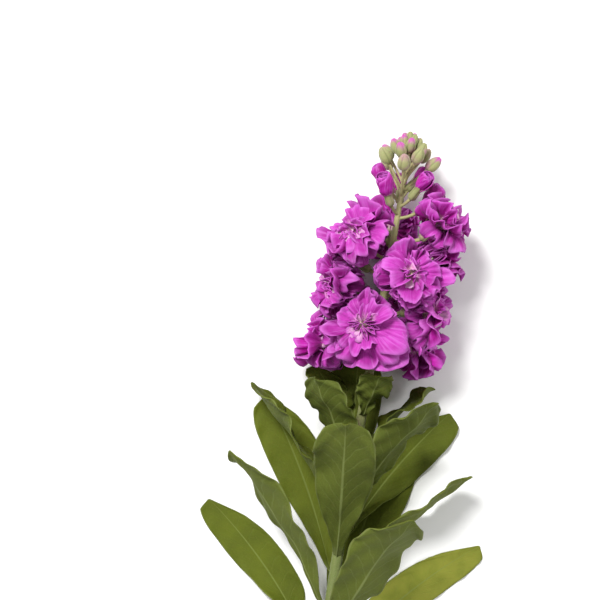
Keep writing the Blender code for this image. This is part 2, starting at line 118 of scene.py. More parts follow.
# The shape of one petal, which the layers share; shares run from 0 at its foot to 1 at its tip
PETAL_THICKNESS = 0.28 * MM
PETAL_GRID = (22, 13)
PETAL_LONGER = 1.06
PETAL_SPREAD = 1.36
PETAL_ROUNDING = 0.27
PETAL_ROUNDING_POWER = 2.6
PETAL_FOOT_WIDTH = (0.62, 1.0)
PETAL_WIDEST = 0.7
PETAL_CLAW = 0.16
CLAW_RADIUS = 1.3 * MM
CLAW_SINK = 1.5 * MM
PETAL_LEAN_SPREAD = (math.radians(4), math.radians(7), math.radians(10), math.radians(12))
PETAL_ROLL = math.radians(11)
PETAL_NOTCH = (0.0, 0.11)
PETAL_NOTCH_PLACE = (-0.3, 0.3)
PETAL_NOTCH_WIDTH = 0.2
PETAL_SWAY = (-0.12, 0.12)
PETAL_CRINKLE = 0.022
PETAL_CRINKLES = (6, 10)
PETAL_CURL = (math.radians(-20), math.radians(26))
PETAL_CUP = (math.radians(-22), math.radians(12))
RIPPLES = [(1.4, 2.4 * MM), (2.7, 2.0 * MM), (4.6, 1.05 * MM), (7.7, 0.38 * MM)]
RIPPLE_COUNT_SPREAD = (0.8, 1.25)
RIPPLE_SIZE_SPREAD = (0.5, 1.4)
RIPPLE_SLANT = 1.1
RIPPLE_POWER = 1.6
RIPPLE_LEAST_REACH = 4 * MM
CROWDING_MOST = 2.2
PETAL_ROOM = (0.84, 1.0)
PALE_REACH = (0.24, 0.30, 0.46, 0.78)
PETAL_SHADE = 0.40
PETAL_SHADE_STEP = 0.05
PETAL_SHADE_SPREAD = (-0.3, 0.3)
BLOOM_SHADE_SPREAD = (-0.08, 0.08)

# The small crumpled petals in a bloom's heart, and the pale ones inmost
HEART_PETALS = 13
HEART_GRID = (12, 8)
HEART_RIPPLES = 0.55
HEART_RUFFLE = 1.5
HEART_SHADE = 0.5
HEART_HALF_TURN = (0.5, 0.9)
HEART_TURN_SPREAD = (-0.2, 0.2)
HEART_ROOT_LEAN = math.radians(20)
HEART_LENGTH = (0.26, 0.50)
HEART_LEAN = (math.radians(26), math.radians(70))
HEART_PALE_REACH = (0.8, 1.7)
HEART_PALE_SPREAD = (0.7, 1.3)
PALE_PETALS = 7
PALE_LENGTH = (0.17, 0.27)
PALE_LEAN = (math.radians(30), math.radians(84))
PALE_ROOT_LEAN = math.radians(3)
PALE_THROUGHOUT = 3

# The room that a bloom's neighbours leave it
CELL_FREE_SHARE = 0.75
CELL_CLEARANCE = 0.62 * MM
CELL_LEAST = 0.5 * MM
CELL_POWER = 9
BACK_ROOM = 9 * MM
AXIS_ROOM = 5.5 * MM
AXIS_ROOM_LEAST = 2 * MM
SEPALS_TO_CLEAR = (0.25, 0.9)

# Buds that show colour, and the closed buds above them
OPENING_COUNT = 6
OPENING_Y = (199 * MM, 210 * MM)
OPENING_FIRST_AZIMUTH = math.radians(100)
OPENING_REACH = (15 * MM, 10 * MM)
OPENING_CLIMB = (11 * MM, 12 * MM)
OPENING_TILT = math.radians(52)
OPENING_LENGTH = (12.5 * MM, 9 * MM)
OPENING_RADIUS = (5.6 * MM, 3.6 * MM)
OPENING_PROFILE = [(0.0, 0.5), (0.25, 0.86), (0.6, 1.0), (0.86, 0.82), (1.0, 0.4)]
OPENING_MIDDLE = 0.4
OPENING_CALYX = 9 * MM
FURL_PETALS = 5
FURL_WRAP = math.radians(105)
FURL_GRID = (20, 14)
FURL_TURN_SPREAD = (-0.2, 0.2)
FURL_STEP_IN = 0.13
FURL_TOP = (0.88, 1.0)
FURL_TOP_RISE = (0.86, 1.0)
FURL_TIP_ROUNDING = 0.20
FURL_TIP_POWER = 2.4
FURL_OVERLAP = 0.10
FURL_RIM_START = 0.6
FURL_RIPPLE = 0.09
FURL_RIPPLES = 5
FURL_OPENING = (0.0, 0.16)
FURL_TWIST = math.radians(50)
FURL_SHADE = 0.45
FURL_SHADE_SPREAD = (-0.15, 0.2)
CLOSED_COUNT = 22
CLOSED_Y = (211 * MM, 237 * MM)
CLOSED_PEDICEL = (20 * MM, 3 * MM)
CLOSED_LENGTH = (10.5 * MM, 7.5 * MM)
CLOSED_RADIUS = (3.7 * MM, 2.5 * MM)
CLOSED_PROFILE = [
    (0.0, 0.30), (0.07, 0.66), (0.26, 0.95), (0.48, 1.0), (0.72, 0.84), (0.90, 0.54), (1.0, 0.24)
]
CLOSED_LEAN = (math.radians(44), math.radians(14))
CLOSED_STALK_RADIUS = 0.7 * MM
CLOSED_SIDES = 32
CLOSED_RINGS = 18
SEPALS = 4
SEPAL_GROOVE = 0.15
SEPAL_GROOVE_POWER = 2.2
SEPAL_PARTING = 0.05
SEPAL_TIP_DROP = 0.26
SEPAL_TIP_POWER = 0.8
CLOSED_SHADE_SPREAD = (-0.25, 0.25)
CLOSED_COLOUR_SHOWN = (-0.4, 1.0)

# An open sepal tube's rings, up its outside and down its inside: height over its length, width over
# its radius, and how far the four tips part there
SEPAL_RINGS = [
    (0.0, 0.40, 0), (0.05, 0.80, 0), (0.16, 1.02, 0), (0.4, 1.0, 0), (0.7, 0.93, 0), (0.9, 0.93, 0.4),
    (1.0, 1.0, 0.8), (1.06, 1.1, 1), (1.05, 0.98, 0.95), (0.98, 0.84, 0.7), (0.86, 0.74, 0),
]
SEPAL_SHADE = 0.45
SEPAL_SHADE_SPREAD = (-0.15, 0.15)

# Flower stalks, swollen at the stem and under the bloom
PEDICEL_RINGS = 7
PEDICEL_SIDES = 8
PEDICEL_BOW = 0.6 * MM
PEDICEL_SWELL = (0.45, 0.25)
STALK_SINK = 0.4 * MM
MIDDLE_SHADE = 0.5

# Leaves, given as (top leaf, lowest leaf)
LEAF_COUNT = 16
LEAF_Y = (88 * MM, -62 * MM)
LEAF_FIRST_AZIMUTH = math.radians(14)
LEAF_LENGTH = [(0.0, 34 * MM), (0.27, 78 * MM), (0.5, 100 * MM), (1.0, 112 * MM)]
LEAF_HALF_WIDTH = [(0.0, 10 * MM), (0.3, 17 * MM), (1.0, 18 * MM)]
LEAF_ROOT_LEAN = [(0.0, math.radians(36)), (0.3, math.radians(30)), (1.0, math.radians(30))]
LEAF_TIP_LEAN = [(0.0, math.radians(50)), (0.3, math.radians(46)), (1.0, math.radians(54))]
LEAF_SIZE = (0.94, 1.06)
LEAF_PLACES = (0.0, 0.12, 0.26, 0.40, 0.54, 0.68, 0.81, 0.92, 1.0)
LEAF_PROFILE = [(0.0, 0.12), (0.12, 0.26), (0.40, 0.78), (0.62, 1.0), (0.81, 0.90), (0.92, 0.62), (1.0, 0.24)]
LEAF_COLUMNS = 4
LEAF_SOLID_THICKNESS = 0.7 * MM
LEAF_ROOT_HALF_WIDTH = 2.0 * MM
LEAF_WAVE = 2.8 * MM
LEAF_WAVES = 2.2
LEAF_WAVE_OFFSET = 0.8
LEAF_WAVE_POWER = 1.5
LEAF_WAVE_START = 1 / 3
LEAF_TROUGH = 0.2
TABLE_SOFTNESS = 5 * MM
TABLE_LAYER = 0.95 * MM
LEAF_SETTLE_HEIGHT = 10 * MM
LEAF_PRESSED_FLAT = 0.8
LEAVES_PER_TABLE_LAYER = 3

# The finer shape of a leaf; its billows are (waves along, waves across, height)
LEAF_THICKNESS = 0.45 * MM
LEAF_GRID = (24, 60)
LEAF_TIP_ROUNDING = 1.15
LEAF_TIP_POWER = 2.2
LEAF_COLUMN_POWER = 1.35
LEAF_GROWN_AT = 0.3
LEAF_MIDRIB_DEPTH = 0.45 * MM
LEAF_MIDRIB_WIDTH = 0.07
LEAF_MIDRIB_FADE = 0.7
LEAF_VEINS = 11
LEAF_VEIN_SLANT = 2.6
LEAF_PUFF = 0.12 * MM
LEAF_BILLOWS = [(1.7, 0.35, 0.6 * MM), (3.1, -0.6, 0.4 * MM), (4.4, 0.9, 0.25 * MM)]
LEAF_EDGE_WAVE = 0.9 * MM
LEAF_EDGE_WAVES = 6.3
LEAF_EDGE_POWER = 4
LEAF_FRILL = (0.6, 1.2)
LEAF_ROOT_SINK = (1.5 * MM, 2.4 * MM)
LEAF_ROOT_PART = 0.07
LEAF_AGEING = (0.12, 0.72)
LEAF_AGEING_SPREAD = 0.18

# Scars of the stripped leaves on the lower stem, and its cut face: rings as (share of radius, depth)
SCAR_HEIGHT = 0.7 * MM
SCAR_REACH = 3.0 * MM
SCAR_STEEPNESS = 2.2
SCAR_MARK = SCAR_REACH / 1.3
CUT_FACE_RINGS = [(0.05, 0.9 * MM), (0.42, 0.8 * MM), (0.5, 0.35 * MM), (0.84, 0.2 * MM), (0.97, 0.0)]
CUT_EDGE = 0.3 * MM
PITH_RADIUS = 2.6 * MM
PITH_DEPTH = 1.1 * MM


def rgb(red, green, blue):
    return (red, green, blue, 1)


# Finishes: colours, the shares to which effects show, roughness from glossiest to most matt, bumps as
# (strength, depth), the scales of patterns to a metre, and how far light of each colour spreads inside
# In the petal looks, rim is the lilac of the light streaks and of the painted highlight towards each petal's
# tip.
PETAL_LOOKS = {
    "petal_face": {
        "deep": rgb(0.21, 0.003, 0.13), "light": rgb(0.58, 0.024, 0.45), "rim": rgb(0.58, 0.15, 0.60),
        "pale": rgb(0.80, 0.40, 0.65), "claw": rgb(0.70, 0.56, 0.40),
        "streaks": 0.45, "roughness": (0.39, 0.57),
    },
    "petal_back": {
        "deep": rgb(0.27, 0.009, 0.20), "light": rgb(0.53, 0.056, 0.45), "rim": rgb(0.58, 0.18, 0.60),
        "pale": rgb(0.74, 0.44, 0.64), "claw": rgb(0.60, 0.54, 0.36),
        "streaks": 0.35, "roughness": (0.49, 0.67),
    },
}
PETAL_PATCH_SCALE = 130.0
PETAL_CELL_SCALE = 2600.0
PETAL_BUMP = (0.45, 0.25 * MM)
STREAKS_ACROSS = 26.0
STREAKS_ALONG = 1.6
STREAKS_APART = 90.0
# In the leaf looks, rib is the colour of the midrib, the veins and the leaf's foot, and also of the painted
# highlight along each leaf's edges.
LEAF_LOOKS = {
    "leaf_face": {
        "deep": rgb(0.030, 0.040, 0.003), "light": rgb(0.126, 0.154, 0.012), "aged": rgb(0.21, 0.22, 0.03),
        "rib": rgb(0.165, 0.20, 0.045), "felt": 0.16, "veins": 0.08,
    },
    "leaf_underside": {
        "deep": rgb(0.048, 0.064, 0.008), "light": rgb(0.122, 0.148, 0.023), "aged": rgb(0.20, 0.21, 0.04),
        "rib": rgb(0.20, 0.235, 0.075), "felt": 0.30, "veins": 0.25,
    },
}
LEAF_HAIR = rgb(0.20, 0.235, 0.055)
LEAF_ROUGHNESS = (0.58, 0.80)
LEAF_PATCH_SCALE = 55.0
LEAF_FELT_SCALE = 1500.0
VEIN_WOBBLE_SCALE = 160.0
LEAF_BUMP = (0.4, 0.25 * MM)
# In the stem looks, grooves is how strongly painted shade darkens the grooves between sepals.
STEM_LOOKS = {
    "stem_skin": {
        "low": rgb(0.19, 0.235, 0.065), "high": rgb(0.44, 0.40, 0.19), "blush": rgb(0.36, 0.17, 0.19),
        "tip": rgb(0.4, 0.1, 0.3), "blushed": 0.3, "grooves": 0.0,
    },
    "bud_felt": {
        "low": rgb(0.30, 0.33, 0.12), "high": rgb(0.34, 0.345, 0.15), "blush": rgb(0.50, 0.20, 0.34),
        "tip": rgb(0.50, 0.07, 0.38), "blushed": 0.7, "grooves": 0.5,
    },
}
STEM_DARK = rgb(0.16, 0.20, 0.06)
# Painted shade: the darker colour laid into the grooves between a bud's sepals.
GROOVE_PAINTED_SHADE = rgb(0.12, 0.14, 0.04)
SCAR_COLOUR = rgb(0.40, 0.34, 0.17)
STEM_HAIR = rgb(0.44, 0.44, 0.25)
STEM_ROUGHNESS = (0.56, 0.76)
STEM_PATCH_SCALE = 140.0
STEM_FELT_SCALE = 2200.0
BLUSH_SCALE = 90.0
SPECKLE_SCALE = 260.0
STEM_BUMP = (0.5, 0.3 * MM)
STEM_YELLOWER_Y = (0.02, 0.20)
SHEEN_ROUGHNESS = 0.4
LIGHT_SPREAD = (1.0, 0.35, 0.8)
LIGHT_DEPTH = 1.2 * MM
FLOOR_COLOUR = rgb(0.93, 0.93, 0.92)
FLOOR_ROUGHNESS = 0.7

# The stage: half the floor's side, the surround's strength, and lamps as (name, place, target, size, power)
FLOOR_HALF = 3
SURROUND = 0.5
LAMPS = [
    ("key", (-0.55, 0.75, 1.3), (0.0, 0.1, 0.03), 0.5, 28),
    ("fill", (0.9, -0.3, 1.1), (0.0, 0.05, 0.03), 1.0, 5),
]

# The camera looks straight down, at the photograph's scale and place of the head in its frame
PICTURE_SIDE = 600
PIXEL = 0.55 * MM
TIP_PIXEL = (412, 130)
HEAD_LEAN = math.radians(7.8)
TIP_OVER_PLAN = 8 * MM
CAMERA_HEIGHT = 1.3
HEAD_HEIGHT = 35 * MM
SENSOR = 36


def mix(ends, share):
    """The value at a share of the way from the first of two ends to the second."""
    return ends[0] + (ends[1] - ends[0]) * share


def along_table(rows, place):
    """The value at a place in rows of (place, value), with straight stretches between them."""
    for (low, first), (high, second) in zip(rows, rows[1:]):
        if place <= high:
            return mix((first, second), max(0.0, (place - low) / (high - low)))
    return rows[-1][1]


def eased(share):
    """A share from 0 to 1 that starts and ends gently."""
    share = min(1.0, max(0.0, share))
    return share * share * (3 - 2 * share)


def curve_through(points, place):
    """The point at a place, counted in points, on a smooth curve through a list of points or numbers."""
    last = len(points) - 1
    i = min(int(place), last - 1)
    t = place - i
    first, second = points[i], points[i + 1]
    before = points[i - 1] if i > 0 else first * 2 - second
    after = points[i + 2] if i + 2 <= last else second * 2 - first
    return (
        first * 2
        + (second - before) * t
        + (before * 2 - first * 5 + second * 4 - after) * t ** 2
        + (first * 3 - before - second * 3 + after) * t ** 3
    ) * 0.5


def stem_point(y):
    """The stem's centre line at a place along Y."""
    share = (y - CUT_END_Y) / (TIP_Y - CUT_END_Y)
    sway = STEM_SWAY * math.sin(TURN * STEM_SWAY_TURNS * share)
    height = STEM_RADII[0][1] + STEM_RISE * max(0.0, share) ** STEM_RISE_POWER
    return Vector((sway, y, height))


def stem_direction(y):
    step = 1 * MM
    return (stem_point(y + step) - stem_point(y - step)).normalized()


def outward(azimuth):
    """The direction away from the stem: 0 faces up, off the table, and a quarter turn faces +X."""
    return Vector((math.sin(azimuth), 0, math.cos(azimuth)))


def pressed(direction):
    """A direction whose downward part the table has pushed back."""
    if direction.z < 0:
        direction = Vector((direction.x, direction.y, direction.z * UNDERSIDE_SQUEEZE))
    return direction


def round_at(turn):
    """The direction at a turn in a plane, with X at 0."""
    return Vector((math.cos(turn), math.sin(turn), 0))


def basis_on(facing):
    """A matrix whose Z is the given direction and whose X lies across it."""
    side = facing.cross(ALONG)
    if side.length < 0.2:
        side = facing.cross(Vector((0, 0, 1)))
    side.normalize()
    return Matrix((side, facing.cross(side), facing)).transposed()


def tilted(away, tilt):
    """The direction away from the stem, off the table, turned up towards the stem's tip."""
    return (pressed(away).normalized() * math.cos(tilt) + ALONG * math.sin(tilt)).normalized()


def plan_florets():
    """The open florets' hubs, facings and sizes, spiralling up the head."""
    draw = random.Random(SEED)
    florets = []
    for i in range(FLORET_COUNT):
        share = i / (FLORET_COUNT - 1)
        azimuth = FIRST_AZIMUTH + i * GOLDEN_ANGLE
        azimuth += PARTING * share * math.sin(azimuth) * max(0, math.cos(azimuth))
        away = outward(azimuth)
        root_y = mix(FLORET_Y, share)
        hub = stem_point(root_y + mix(FLORET_CLIMB, share)) + pressed(away) * FLORET_REACH
        facing = tilted(away, mix(FLORET_TILT, share) + draw.uniform(-1, 1) * FLORET_TILT_SPREAD)
        radius = mix(FLORET_RADIUS, share) * (1 + draw.uniform(-1, 1) * FLORET_SIZE_SPREAD)
        florets.append({
            "name": f"floret_{i + 1:02d}", "root_y": root_y, "hub": hub, "facing": facing, "away": away,
            "radius": radius, "calyx": mix(CALYX_LENGTH, share),
            "middle": hub + facing * radius * FLORET_MIDDLE,
            "heart": hub + facing * (SEAT_GAP + HUB_HEIGHT), "turn": draw.uniform(0, TURN),
        })
    return florets


def plan_opening_buds():
    """The buds whose petals show above the sepals."""
    buds = []
    for i in range(OPENING_COUNT):
        share = i / (OPENING_COUNT - 1)
        away = outward(OPENING_FIRST_AZIMUTH + i * GOLDEN_ANGLE)
        root_y = mix(OPENING_Y, share)
        hub = stem_point(root_y + mix(OPENING_CLIMB, share)) + pressed(away) * mix(OPENING_REACH, share)
        facing = tilted(away, OPENING_TILT)
        length = mix(OPENING_LENGTH, share)
        buds.append({
            "name": f"opening_bud_{i + 1:02d}", "root_y": root_y, "hub": hub, "facing": facing,
            "radius": mix(OPENING_RADIUS, share), "length": length, "calyx": OPENING_CALYX,
            "middle": hub + facing * length * OPENING_MIDDLE,
        })
    return buds


def plan_closed_buds():
    """The green buds at the tip, whose stalks shorten so that they end at about one height."""
    buds = []
    for i in range(CLOSED_COUNT):
        share = i / (CLOSED_COUNT - 1)
        away = outward(OPENING_FIRST_AZIMUTH + (OPENING_COUNT + i) * GOLDEN_ANGLE)
        lean = mix(CLOSED_LEAN, share)
        facing = (away * math.sin(lean) + ALONG * math.cos(lean)).normalized()
        root = stem_point(mix(CLOSED_Y, share))
        buds.append({
            "root": root, "foot": root + facing * mix(CLOSED_PEDICEL, share), "facing": facing,
            "length": mix(CLOSED_LENGTH, share), "radius": mix(CLOSED_RADIUS, share),
        })
    return buds


def cell_walls(bloom, blooms):
    """The walls of a bloom's cell, as (normal, distance from its heart): neighbours, stem and table."""
    heart = bloom["heart"]
    walls = [(Vector((0, 0, -1)), heart.z - PETAL_THICKNESS + TABLE_PRESS)]
    walls.append((-ALONG, heart.y - HEAD_FOOT_Y))
    walls.append((-bloom["facing"], BACK_ROOM))
    from_stem = (heart - stem_point(heart.y)).dot(bloom["away"])
    walls.append((-bloom["away"], max(AXIS_ROOM_LEAST, from_stem - AXIS_ROOM)))
    for other in blooms:
        if other is bloom:
            continue
        across = other["middle"] - bloom["middle"]
        share = bloom["radius"] / (bloom["radius"] + other["radius"])
        normal = across.normalized()
        between = bloom["middle"] + across * share
        walls.append((normal, (between - heart).dot(normal) - CELL_CLEARANCE))
        for back in SEPALS_TO_CLEAR:
            sepals = other["hub"] - other["facing"] * other["calyx"] * back
            normal = (sepals - bloom["middle"]).normalized()
            room = (sepals - heart).dot(normal) - CALYX_RADIUS - CELL_CLEARANCE
            if room > HUB_RADIUS:
                walls.append((normal, room))
    return walls


def room_towards(direction, walls):
    """How far a bloom may reach from its heart in a direction, with the cell's corners rounded."""
    crowding = 0.0
    for normal, distance in walls:
        towards = normal.dot(direction)
        if towards > 0:
            crowding += (towards / max(distance, CELL_LEAST)) ** CELL_POWER
    return crowding ** (-1 / CELL_POWER) if crowding > 0 else math.inf


def softened(reach, limit):
    """A reach that stays the same well inside a limit and draws up to it from below beyond that."""
    free = limit * CELL_FREE_SHARE
    if reach > free:
        rest = limit - free
        reach = free + rest * (1 - math.exp(-(reach - free) / rest))
    return reach


def eased_onto(floor, height):
    """A height that the surface at the floor has pushed back, softly above it and flat on it."""
    if height > floor + TABLE_SOFTNESS:
        return height
    depth = TABLE_SOFTNESS + TABLE_PRESS
    return max(floor, floor - TABLE_PRESS + depth * math.exp((height - floor - TABLE_SOFTNESS) / depth))


def plan_shift():
    """How far the solids were moved to stand over their origin, read from the stem's cut end."""
    low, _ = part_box("stem")
    end = [vertex.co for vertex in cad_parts["stem"].data.vertices if vertex.co.y < low.y + 0.01 * MM]
    middle = (min(point.x for point in end) + max(point.x for point in end)) / 2
    start = stem_point(CUT_END_Y)
    return Vector((middle - start.x, low.y - start.y, 0))


SHIFT = plan_shift()


def new_mesh():
    """An empty mesh with a UV map, and for each point a shade and a reach that its material reads."""
    bm = bmesh.new()
    bm.loops.layers.uv.new("UVMap")
    bm.verts.layers.float.new("shade")
    bm.verts.layers.float.new("reach")
    return bm


def add_sheet(bm, grid, place, shade, slot=0, reach=0.0):
    """Adds a grid whose point at v from -1 to 1 across and u from 0 to 1 along lies at place(u, v)."""
    columns, rows = grid
    made = bmesh.ops.create_grid(bm, x_segments=columns, y_segments=rows, size=1, calc_uvs=True)["verts"]
    layer, reached = bm.verts.layers.float["shade"], bm.verts.layers.float["reach"]
    for vertex in made:
        vertex.co = place((vertex.co.y + 1) / 2, vertex.co.x)
        vertex[layer] = shade
        vertex[reached] = reach
    for face in {face for vertex in made for face in vertex.link_faces}:
        face.material_index = slot
    return made


def add_tube(bm, rings, shade, slot=0, reach=0.0):
    """Adds a round body through rings of points, its seam welded and its two ends closed."""
    columns, bands = len(rings[0]), len(rings) - 1

    def place(u, v):
        return rings[round(u * bands)][round((v + 1) / 2 * columns) % columns]

    made = add_sheet(bm, (columns, bands), place, shade, slot, reach)
    bmesh.ops.remove_doubles(bm, verts=made, dist=1e-7)
    left = [vertex for vertex in made if vertex.is_valid]
    rims = {edge for vertex in left for edge in vertex.link_edges if edge.is_boundary}
    for face in bmesh.ops.holes_fill(bm, edges=list(rims), sides=0)["faces"]:
        face.material_index = slot
    return left


def ring_points(centre, direction, radius, sides):
    """A ring of points round a centre."""
    matrix = basis_on(direction)
    turns = [TURN * k / sides for k in range(sides)]
    return [centre + matrix @ round_at(turn) * radius for turn in turns]


def sepal_ring(foot, facing, turn_from, outline):
    """A ring of points round four sepals, at the (radius, height) that the outline gives for each lobe."""
    matrix = basis_on(facing) @ Matrix.Rotation(turn_from, 3, "Z")
    ring = []
    for k in range(CLOSED_SIDES):
        turn = TURN * k / CLOSED_SIDES
        radius, height = outline(abs(math.cos(SEPALS / 2 * turn)))
        ring.append(foot + matrix @ Vector((math.cos(turn) * radius, math.sin(turn) * radius, height)))
    return ring


def finished_piece(name, bm, looks, nodes, thickness=None):
    """Makes the mesh a piece that stands for its node, and gives sheets a thickness and a second face."""
    bm.normal_update()
    mesh = bpy.data.meshes.new(name)
    bm.to_mesh(mesh)
    bm.free()
    mesh.transform(Matrix.Translation(SHIFT))
    piece = bpy.data.objects.new(name, mesh)
    bpy.context.scene.collection.objects.link(piece)
    for look in looks:
        mesh.materials.append(look)
    mesh.shade_smooth()
    if thickness:
        thicken = piece.modifiers.new("thickness", "SOLIDIFY")
        thicken.thickness = thickness
        thicken.offset = 0
        thicken.material_offset = 1
    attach(piece, "root")
    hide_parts(*nodes)


def petal_draws(bloom, layer, draw):
    """The lengths, ruffles and turns of a layer's petals, drawn in the order that the solids draw them."""
    reaches = [draw.uniform(*PETAL_REACH) for _ in range(PETALS_ROUND)]
    edges, ruffles, turns = [], [], []
    for k in range(PETALS_ROUND * PETAL_COLUMNS):
        place = (k + layer) % PETAL_COLUMNS
        edges.append(1 if place == 0 else draw.uniform(*PETAL_EDGE))
        ruffles.append(draw.uniform(*PETAL_RUFFLE_SHARE))
        turns.append(draw.uniform(-1, 1) * PETAL_TURN_SPREAD)
    petals = []
    for k in range(PETALS_ROUND * PETAL_COLUMNS):
        if (k + layer) % PETAL_COLUMNS == 0:
            first, second = (k + 1) % len(edges), (k + 2) % len(edges)
            petals.append({
                "reach": reaches[(k + layer) // PETAL_COLUMNS % PETALS_ROUND],
                "edges": (edges[first], edges[second]),
                "ruffle": (ruffles[first] + ruffles[second]) / 2 * PETAL_RUFFLE,
                "turn": bloom["turn"] + TURN * (k + PETAL_COLUMNS / 2 + turns[first]) / len(edges),
            })
    return petals


def petal_place(bloom, walls, petal, fine):
    """A function that gives the points of one petal, which a few sine waves across it ruffle."""
    matrix = basis_on(bloom["facing"])
    heart, hub = bloom["heart"], bloom["hub"]
    notch = fine.uniform(*PETAL_NOTCH)
    notch_at = fine.uniform(*PETAL_NOTCH_PLACE)
    curl = fine.uniform(*PETAL_CURL)
    cup = fine.uniform(*PETAL_CUP)
    roll = fine.uniform(-1, 1) * PETAL_ROLL
    lean_off = fine.uniform(-1, 1) * petal["lean_spread"]
    sway = fine.uniform(*PETAL_SWAY)
    crinkle = (fine.uniform(*PETAL_CRINKLES), fine.uniform(0, TURN))
    own_room = fine.uniform(*PETAL_ROOM)
    ripples = []
    for count, size in RIPPLES:
        count *= fine.uniform(*RIPPLE_COUNT_SPREAD)
        size *= fine.uniform(*RIPPLE_SIZE_SPREAD) * petal["rippled"]
        ripples.append((count, size, fine.uniform(0, TURN)))

    def towards(lean, turn):
        across = math.sin(lean)
        return matrix @ Vector((across * math.cos(turn), across * math.sin(turn), math.cos(lean)))

    def place(u, v):
        side = v * petal["half_turn"] * mix(PETAL_FOOT_WIDTH, eased(u / PETAL_WIDEST))
        turn = petal["turn"] + side + sway * u
        outline = 1 - PETAL_ROUNDING * abs(v) ** PETAL_ROUNDING_POWER
        outline -= notch * math.exp(-((v - notch_at) / PETAL_NOTCH_WIDTH) ** 2)
        outline *= mix(petal["edges"], (v + 1) / 2)
        outline *= 1 + PETAL_CRINKLE * math.sin(crinkle[0] * v + crinkle[1])
        tip = petal["length"] * outline
        lean = mix(petal["lean"], u) + curl * u ** 3 + (cup * v * v + lean_off) * u
        lean -= (petal["ruffle"] * math.sin(math.pi * v) + roll * v) * u
        held = softened(tip, room_towards(towards(lean, turn), walls) * own_room)
        crowding = min(CROWDING_MOST, tip / held)
        reach = mix((HUB_RADIUS, held), u)
        ripple = sum(size * math.sin(count * math.pi * v + phase + RIPPLE_SLANT * u)
                     for count, size, phase in ripples)
        lean += ripple * crowding * u ** RIPPLE_POWER / max(reach, RIPPLE_LEAST_REACH)
        direction = towards(lean, turn)
        reach = min(reach, room_towards(direction, walls) * own_room)
        point = heart + direction * reach
        if u < PETAL_CLAW:
            claw = hub - bloom["facing"] * CLAW_SINK + matrix @ round_at(turn) * CLAW_RADIUS
            point = claw.lerp(point, eased(u / PETAL_CLAW))
        point.z = max(point.z, PETAL_LIFT)
        return point

    return place


def heart_petal(bloom, k, inmost, fine):
    """The draws for one of the small petals in a bloom's heart."""
    return {
        "turn": bloom["turn"] + k * GOLDEN_ANGLE + fine.uniform(*HEART_TURN_SPREAD),
        "length": bloom["radius"] * fine.uniform(*(PALE_LENGTH if inmost else HEART_LENGTH)),
        "lean": (PALE_ROOT_LEAN if inmost else HEART_ROOT_LEAN,
                 mix(PALE_LEAN if inmost else HEART_LEAN, fine.random())),
        "lean_spread": 0,
        "rippled": HEART_RIPPLES,
        "half_turn": fine.uniform(*HEART_HALF_TURN),
        "ruffle": PETAL_RUFFLE * HEART_RUFFLE,
        "edges": (1, 1),
    }


def make_floret(bloom, blooms, looks):
    """One open double bloom: layers of separate petals, and small crumpled ones in its heart."""
    draw = random.Random(bloom["name"])
    fine = random.Random(bloom["name"] + " petals")
    walls = cell_walls(bloom, blooms)
    bm = new_mesh()
    bloom_shade = fine.uniform(*BLOOM_SHADE_SPREAD)
    heart_pale = fine.uniform(*HEART_PALE_REACH)
    for layer, (length_share, root_lean, tip_lean) in enumerate(PETAL_LAYERS):
        for petal in petal_draws(bloom, layer, draw):
            petal["length"] = bloom["radius"] * length_share * petal["reach"] * PETAL_LONGER
            petal["lean"] = (root_lean, tip_lean)
            petal["lean_spread"] = PETAL_LEAN_SPREAD[layer]
            petal["rippled"] = 1
            petal["half_turn"] = TURN / PETALS_ROUND / 2 * PETAL_SPREAD
            shade = PETAL_SHADE + PETAL_SHADE_STEP * layer + bloom_shade + fine.uniform(*PETAL_SHADE_SPREAD)
            place = petal_place(bloom, walls, petal, fine)
            add_sheet(bm, PETAL_GRID, place, shade, reach=PALE_REACH[layer])
    for k in range(HEART_PETALS + PALE_PETALS):
        inmost = k >= HEART_PETALS
        petal = heart_petal(bloom, k, inmost, fine)
        shade = HEART_SHADE + bloom_shade + fine.uniform(*PETAL_SHADE_SPREAD)
        place = petal_place(bloom, walls, petal, fine)
        pale = heart_pale * (PALE_THROUGHOUT if inmost else fine.uniform(*HEART_PALE_SPREAD))
        add_sheet(bm, HEART_GRID, place, shade, reach=pale)
    name = bloom["name"]
    finished_piece(name + "_petals", bm, looks, [name], PETAL_THICKNESS)


def furled_place(bud, k, fine):
    """A function that gives the points of one of the petals furled round an opening bud."""
    matrix = basis_on(bud["facing"])
    outwards = k / (FURL_PETALS - 1)
    widths = [along_table(OPENING_PROFILE, i / 8) for i in range(9)]
    start = k * GOLDEN_ANGLE + fine.uniform(*FURL_TURN_SPREAD)
    inner = 1 - FURL_STEP_IN * (FURL_PETALS - 1 - k)
    top = fine.uniform(*FURL_TOP) * mix(FURL_TOP_RISE, outwards)
    phase = fine.uniform(0, TURN)
    open_out = fine.uniform(*FURL_OPENING) * outwards

    def place(u, v):
        height = u * top * (1 - FURL_TIP_ROUNDING * abs(v) ** FURL_TIP_POWER)
        wide = curve_through(widths, height * (len(widths) - 1))
        wrap = 1 - FURL_OVERLAP * v
        rim = eased((u - FURL_RIM_START) / (1 - FURL_RIM_START))
        ripple = 1 + rim * (FURL_RIPPLE * math.sin(FURL_RIPPLES * v + phase) + open_out * (1 - 0.4 * v * v))
        turn = start + v * FURL_WRAP + height * FURL_TWIST
        radius = bud["radius"] * wide * inner * wrap * ripple
        spread = round_at(turn) * radius
        return bud["hub"] + matrix @ (spread + Vector((0, 0, bud["length"] * height - CLAW_SINK * (1 - u))))

    return place


